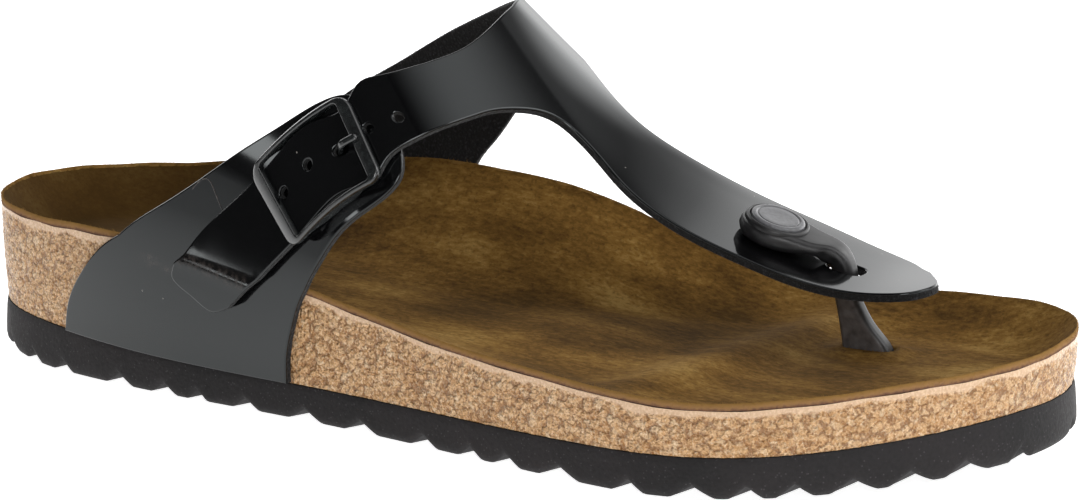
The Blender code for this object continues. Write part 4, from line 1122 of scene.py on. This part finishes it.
def suede():
    """Sueded split leather: brown nap in streaks, with darker pores, painted shade over the heel and a frayed
    cut rim.
    """
    material, tree, shader, place = start_material(
        "split leather, sueded", Roughness=0.95, Specular_IOR_Level=0.15, Sheen_Weight=0.06,
        Sheen_Roughness=0.5, Sheen_Tint=linear("#b08a48"))
    lie = add(tree, "Mapping", {"Vector": place, "Scale": (0.45, 1.0, 1.0)})
    patch = add(tree, "TexNoise", {"Vector": lie, "Scale": PER_MM / 15, "Detail": 3.0})
    nap = add(tree, "TexNoise", {"Vector": lie, "Scale": PER_MM / 1.1, "Detail": 4.0, "Roughness": 0.7})
    pores = add(tree, "TexNoise", {"Vector": place, "Scale": PER_MM / 0.9, "Detail": 2.0})
    drop = add(tree, "Attribute", attribute_name="mark").outputs["Fac"]
    soft = add(tree, "Math", (nap, 0.6), operation="MULTIPLY")
    tone = add(tree, "Math", (patch, 0.9, soft), operation="MULTIPLY_ADD")
    brown = add(tree, "ValToRGB", [tone], (
        (0.55, "#4a3412"), (0.7, "#694b1f"), (0.82, "#81602c"), (0.95, "#9b7b43")))
    pit = add(tree, "MapRange", (pores, 0.32, 0.44, 0.35, 0.0))
    pitted = add(tree, "Mix", {SHARE: pit, FROM: brown, TO: linear("#33200b")}, data_type="RGBA")
    # painted shade: the lining turns dark brown towards the heel, where the cup's walls stand in shade
    heel_shade_share = add(tree, "MapRange", (drop, BED_MARK, BED_MARK - 1, 0.0, 0.85))
    heel_shaded = add(tree, "Mix", {SHARE: heel_shade_share, FROM: pitted, TO: linear("#3d2a0d")}, data_type="RGBA")
    frayed = add(tree, "Math", (pores, 0.9, drop), operation="MULTIPLY_ADD")
    depth = add(tree, "MapRange", (frayed, -0.5, 2.1))
    rim = add(tree, "ValToRGB", [depth], (
        (0.2, "#6f5126"), (0.45, "#8e6c3a"), (0.76, "#8e6b46"), (0.92, "#70523f"), (1.0, "#5e4337")))
    cut = add(tree, "MapRange", (drop, -0.6, 0.2))
    colour = add(tree, "Mix", {SHARE: cut, FROM: heel_shaded, TO: rim}, data_type="RGBA")
    bump = add(tree, "Bump", {"Height": nap, "Strength": 0.8, "Distance": 0.3 * MM})
    join(shader, Base_Color=colour, Normal=bump)
    return material


def foam_rubber():
    """Moulded foam rubber: matt charcoal with a fine pale speckle and a grainy skin."""
    material, tree, shader, place = start_material("foam rubber, moulded", Specular_IOR_Level=0.35)
    dots = add(tree, "TexVoronoi", {"Vector": place, "Scale": PER_MM / 1.1})
    skin = add(tree, "TexNoise", {"Vector": place, "Scale": PER_MM / 0.8, "Detail": 4.0})
    broad = add(tree, "TexNoise", {"Vector": place, "Scale": PER_MM / 18, "Detail": 2.0})
    tone = add(tree, "ValToRGB", [broad], ((0.3, "#141213"), (0.7, "#1f1b1c")))
    speck = add(tree, "MapRange", (dots, 0.08, 0.2, 0.35, 0.0))
    colour = add(tree, "Mix", {SHARE: speck, FROM: tone, TO: linear("#5d595c")}, data_type="RGBA")
    rough = add(tree, "MapRange", (skin, 0, 1, 0.55, 0.85))
    bump = add(tree, "Bump", {"Height": skin, "Strength": 0.7, "Distance": 0.2 * MM})
    join(shader, Base_Color=colour, Roughness=rough, Normal=bump)
    return material


def black_enamel():
    """Stove enamel on a cast buckle: black satin gloss, a little uneven and abraded."""
    return grained("stove enamel, black", 1.2, 3.0, ((0.35, "#131415"), (0.7, "#232626")), (0.16, 0.34),
                   (0.15, 0.05), IOR=1.5, Coat_Weight=0.8, Coat_Roughness=0.08)[0]


def moulded_rubber():
    """Moulded rubber of the toe post: black with a soft satin skin, and a painted grey sheen on the blade's
    broad face.
    """
    material, tree, shader, skin, tone = grained(
        "rubber, injection moulded", 2.5, 4.0, ((0.3, "#121112"), (0.75, "#252425")), (0.3, 0.5), (0.3, 0.08),
        IOR=1.52)
    mark = add(tree, "Attribute", attribute_name="mark").outputs["Fac"]
    # painted sheen: the marked blade face mixes towards pale grey
    spread = add(tree, "MapRange", (skin, 0.35, 0.65, 0.45))
    share = add(tree, "Math", (mark, spread), operation="MULTIPLY")
    painted_sheen = add(tree, "Mix", {SHARE: share, FROM: tone, TO: linear("#656364")}, data_type="RGBA")
    join(shader, Base_Color=painted_sheen)
    return material


def button_plastic():
    """Hard plastic cap: grey, turned smooth, with a fine grain that softens the reflections."""
    return grained("hard plastic, turned", 0.8, 3.0, ((0.3, "#5a5a5c"), (0.7, "#717174")), (0.25, 0.4),
                   IOR=1.5)[0]


# Fibres: radius, most lean in radians, least and most size
FIBRE_THICK, FIBRE_LEAN, FIBRE_SIZES = 0.05, 1.0, (0.4, 1.1)
FIBRE_INPUTS = (
    # name, kind of socket
    ("Geometry", "Geometry"), ("Density", "Float"), ("From mark", "Float"), ("To mark", "Float"),
    ("Length", "Float"), ("Seed", "Int"), ("Material", "Material"),
)


def fibre_tree():
    """Geometry Nodes: short tapered fibres on the marked faces of a piece, turned at random."""
    tree = bpy.data.node_groups.new("fibres", "GeometryNodeTree")
    sockets = {}
    for name, kind in FIBRE_INPUTS:
        socket = tree.interface.new_socket(name, in_out="INPUT", socket_type="NodeSocket" + kind)
        sockets[name] = socket.identifier
    tree.interface.new_socket("Geometry", in_out="OUTPUT", socket_type="NodeSocketGeometry")
    given = add(tree, "NodeGroupInput").outputs
    seed = given["Seed"]
    mark = add(tree, "GeometryNodeInputNamedAttribute", {"Name": "mark"}, data_type="FLOAT")
    over = add(tree, "FunctionNodeCompare", (mark, given["From mark"]), operation="GREATER_THAN")
    under = add(tree, "FunctionNodeCompare", (mark, given["To mark"]), operation="LESS_THAN")
    marked = add(tree, "FunctionNodeBooleanMath", (over, under))
    spots = add(tree, "GeometryNodeDistributePointsOnFaces", {
        "Mesh": given["Geometry"], "Selection": marked, "Density": given["Density"], "Seed": seed})
    fibre = add(tree, "GeometryNodeMeshCone", {
        "Vertices": 3, "Radius Top": 0.0, "Radius Bottom": FIBRE_THICK * MM, "Depth": given["Length"]},
        fill_type="NONE")
    most = np.array([FIBRE_LEAN, FIBRE_LEAN, math.pi])
    lean = add(tree, "FunctionNodeRandomValue", {"Min": -most, "Max": most, "Seed": seed},
               data_type="FLOAT_VECTOR")
    turned = add(tree, "FunctionNodeRotateRotation", (spots.outputs["Rotation"], lean),
                 rotation_space="LOCAL")
    least, largest = FIBRE_SIZES
    size = add(tree, "FunctionNodeRandomValue", {2: least, 3: largest, "Seed": seed}, data_type="FLOAT")
    planted = add(tree, "GeometryNodeInstanceOnPoints", {
        "Points": spots, "Instance": fibre, "Rotation": turned, "Scale": size})
    real = add(tree, "GeometryNodeRealizeInstances", {"Geometry": planted})
    done = add(tree, "GeometryNodeSetMaterial", {"Geometry": real, "Material": given["Material"]})
    add(tree, "NodeGroupOutput", {"Geometry": done})
    return tree, sockets


def grow_fibres(name, carrier, tree, sockets, **values):
    """A plain mesh of fibres that stand on a piece."""
    piece = bpy.data.objects.new(name, carrier.data.copy())
    bpy.context.scene.collection.objects.link(piece)
    modifier = piece.modifiers.new("fibres", "NODES")
    modifier.node_group = tree
    for key, value in values.items():
        modifier[sockets[key.replace("_", " ")]] = value
    return plain_mesh(piece)


# Camera, fitted to the photograph: degrees, millimetres, and the image's width in pixels
CAMERA_TURN, CAMERA_RISE, CAMERA_ROLL = 30.954, 13.213, -0.637
CAMERA_AIM, CAMERA_AWAY = (132.0, 0.0, 25.0), 750.0
CAMERA_ASIDE, CAMERA_UP = 10.836, 8.767
CAMERA_FOCUS, IMAGE_WIDTH, SENSOR = 3331.03, 1080.0, 36.0
CAMERA_REACH = (0.01, 50.0)     # nearest and farthest that it sees, in metres


def place_camera():
    """Camera at the photograph's angle."""
    a, e, r = (math.radians(x) for x in (CAMERA_TURN, CAMERA_RISE, CAMERA_ROLL))
    back = np.array([math.sin(a) * math.cos(e), -math.cos(a) * math.cos(e), math.sin(e)])
    right = np.array([math.cos(a), math.sin(a), 0.0])
    up = np.cross(back, right)
    right, up = math.cos(r) * right + math.sin(r) * up, math.cos(r) * up - math.sin(r) * right
    place = np.array(CAMERA_AIM) + SHIFT + back * CAMERA_AWAY + right * CAMERA_ASIDE + up * CAMERA_UP
    data = bpy.data.cameras.new("camera")
    data.sensor_width, data.lens = SENSOR, CAMERA_FOCUS / IMAGE_WIDTH * SENSOR
    data.clip_start, data.clip_end = CAMERA_REACH
    camera = bpy.data.objects.new("camera", data)
    matrix = Matrix.Identity(4)
    for i, column in enumerate((right, up, back, place * MM)):
        matrix.col[i][:3] = column
    camera.matrix_world = matrix
    bpy.context.scene.collection.objects.link(camera)
    bpy.context.scene.camera = camera


# Studio, in metres
SOFTBOXES = (
    # name, place, size, watts
    ("softbox_right", (1.5, 0.3, 0.9), 1.0, 10.5),
    ("softbox_left", (-1.5, 0.3, 0.9), 1.0, 12.0),
    ("softbox_front", (0.75, -1.25, 0.4), 0.5, 6.0),
    ("softbox_low", (-0.88, -1.2, 0.2), 0.14, 0.3),
)
DISC_AT, DISC_MIDDLE, DISC_EDGE, DISC_GLOW, DISC_SIDES = (0.93, 0.03, 1.99), 0.1, 2.0, 1.55, 48
BACKDROP_AWAY, BACKDROP_WIDE, BACKDROP_HEIGHT = 2.6, 9.75, 4.55
BACKDROP_LOW = (
    # share of the width, grey level of the lower part
    (0.37, "#979797"), (0.43, "#a2a2a2"), (0.46, "#cccccc"), (0.5, "#eeeeee"), (0.58, "#f8f8f8"),
    (0.7, "#a2a2a2"),
)
BACKDROP_HIGH = (
    # share of the width, grey level of the upper part
    (0.35, "#a6a6a6"), (0.45, "#b0b0b0"), (0.48, "#7f7f7f"), (0.51, "#626262"), (0.55, "#464646"),
    (0.6, "#5e5e5e"),
)
BACKDROP_CHANGE, BACKDROP_END = (0.98, 1.54), (2.36, 3.09)    # heights where the lower and the upper part end
BACKDROP_SLANT = 0.6            # the lower part reaches higher to the right
BACKDROP_STRENGTH = 3.6
FLOOR_SIZE, FLOOR_GLOW, FLOOR_FADE = 12.0, 0.9, (-0.26, -0.07)
STUDIO_GREY = 0.06
BLACK, WHITE = linear("#000000"), linear("#ffffff")


def towards_sandal(place):
    """Turn of a flat light that faces the sandal from a place."""
    return Vector(place).to_track_quat("Z", "Y").to_euler()


def place_stage(name, mesh, material):
    """A part of the studio that isn't part of the sandal."""
    data = bpy.data.meshes.new(name)
    mesh.to_mesh(data)
    mesh.free()
    data.materials.append(material)
    made = bpy.data.objects.new(name, data)
    bpy.context.scene.collection.objects.link(made)
    return made


def place_lights():
    """Softboxes round the sandal and a dim grey room."""
    for name, place, size, watts in SOFTBOXES:
        data = bpy.data.lights.new(name, "AREA")
        data.shape, data.size, data.energy = "SQUARE", size, watts
        light = bpy.data.objects.new(name, data)
        light.location, light.rotation_euler = place, towards_sandal(place)
        bpy.context.scene.collection.objects.link(light)
    world = bpy.data.worlds.new("studio")
    world.use_nodes = True
    world.node_tree.nodes["Background"].inputs["Color"].default_value = (STUDIO_GREY,) * 3 + (1.0,)
    bpy.context.scene.world = world
    bpy.context.scene.view_settings.view_transform = "Standard"


def place_floor():
    """White floor that glows, less in front of the sandal."""
    mesh = bmesh.new()
    bmesh.ops.create_grid(mesh, x_segments=1, y_segments=1, size=FLOOR_SIZE / 2)
    acrylic, tree, shader, place = start_material(
        "floor acrylic, white and lit", Base_Color=linear("#f2f2f2"), Roughness=0.9, Emission_Color=WHITE)
    near = add(tree, "SeparateXYZ", [place]).outputs[1]
    join(shader, Emission_Strength=add(tree, "MapRange", (near, *FLOOR_FADE, 0.0, FLOOR_GLOW)))
    place_stage("floor", mesh, acrylic)


def place_backdrop():
    """Backdrop that glows low down and to the left, and ends in the dark."""
    half = BACKDROP_WIDE / 2
    mesh = bmesh.new()
    corners = ((-half, 0), (half, 0), (half, BACKDROP_HEIGHT), (-half, BACKDROP_HEIGHT))
    mesh.faces.new([mesh.verts.new((x, BACKDROP_AWAY, z)) for x, z in corners])
    cloth, tree, shader, place = start_material("backdrop cloth, lit from below", Base_Color=BLACK,
                                                Emission_Strength=BACKDROP_STRENGTH)
    side, _, level = add(tree, "SeparateXYZ", [place]).outputs
    share = add(tree, "MapRange", (side, -half, half))
    low = add(tree, "ValToRGB", [share], BACKDROP_LOW)
    high = add(tree, "ValToRGB", [share], BACKDROP_HIGH)
    slant = add(tree, "Math", (side, -BACKDROP_SLANT, level), operation="MULTIPLY_ADD")
    change = add(tree, "MapRange", (slant, *BACKDROP_CHANGE), interpolation_type="SMOOTHSTEP")
    end = add(tree, "MapRange", (level, *BACKDROP_END))
    glow = add(tree, "Mix", {SHARE: change, FROM: low, TO: high}, data_type="RGBA")
    ended = add(tree, "Mix", {SHARE: end, FROM: glow, TO: BLACK}, data_type="RGBA")
    join(shader, Emission_Color=ended)
    place_stage("backdrop", mesh, cloth)


def place_disc():
    """Round silk above and behind, bright in its middle."""
    mesh = bmesh.new()
    bmesh.ops.create_circle(mesh, cap_ends=True, segments=DISC_SIDES, radius=DISC_EDGE)
    silk, tree, shader, place = start_material(
        "silk, lit from behind", Base_Color=BLACK, Emission_Color=WHITE)
    away = add(tree, "VectorMath", [place], operation="LENGTH")
    glow = add(tree, "MapRange", (away, DISC_MIDDLE, DISC_EDGE, DISC_GLOW, 0.0),
               interpolation_type="SMOOTHSTEP")
    join(shader, Emission_Strength=glow)
    disc = place_stage("silk_disc", mesh, silk)
    disc.location, disc.rotation_euler = DISC_AT, towards_sandal(DISC_AT)


place_camera()
place_lights()
place_floor()
place_backdrop()
place_disc()
patent, felt, nap, enamel = patent_leather(), felt_lining(), suede(), black_enamel()
outsole = make_outsole(foam_rubber())
footbed = make_footbed(pressed_cork())
insole = make_insole(nap)
t_strap = make_t_strap(patent, felt)
panel = make_buckle_panel(patent, felt)
buckle = make_buckle_frame(enamel)
prong = make_buckle_prong(enamel)
post, button = make_toe_post(moulded_rubber(), button_plastic())
FIBRES = (
    # name, carrier, material, slot, density per square metre, lowest and highest mark, length, seed
    ("insole_suede_fibres", insole, nap, "insole", 5e6, -0.3, 0.75, 0.9, 11),
    ("upper_felt_fibres", t_strap, felt, "upper", 4e6, 0.5, 2.0, 0.5, 12),
    ("buckle_panel_felt_fibres", panel, felt, "upper", 4e6, 0.5, 2.0, 0.5, 13),
)
pieces = [
    # piece, node that it replaces, slot
    (outsole, "outsole", "outsole"), (footbed, "footbed", "footbed"), (insole, "insole", "insole"),
    (t_strap, "upper_t_strap", "upper"), (panel, "upper_buckle_panel", "upper"),
    (buckle, "buckle_frame", "buckle"), (prong, "buckle_prong", "buckle"), (post, "toe_post", "toe_post"),
    (button, "toe_post_button", "button"),
]
fibres, sockets = fibre_tree()
for name, carrier, material, slot, density, lowest, highest, length, seed in FIBRES:
    grown = grow_fibres(name, carrier, fibres, sockets, Density=density, From_mark=lowest, To_mark=highest,
                        Length=length * MM, Seed=seed, Material=material)
    pieces.append((grown, None, slot))
for piece, node, slot in pieces:
    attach(piece, "root")
    if node:
        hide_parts(node)
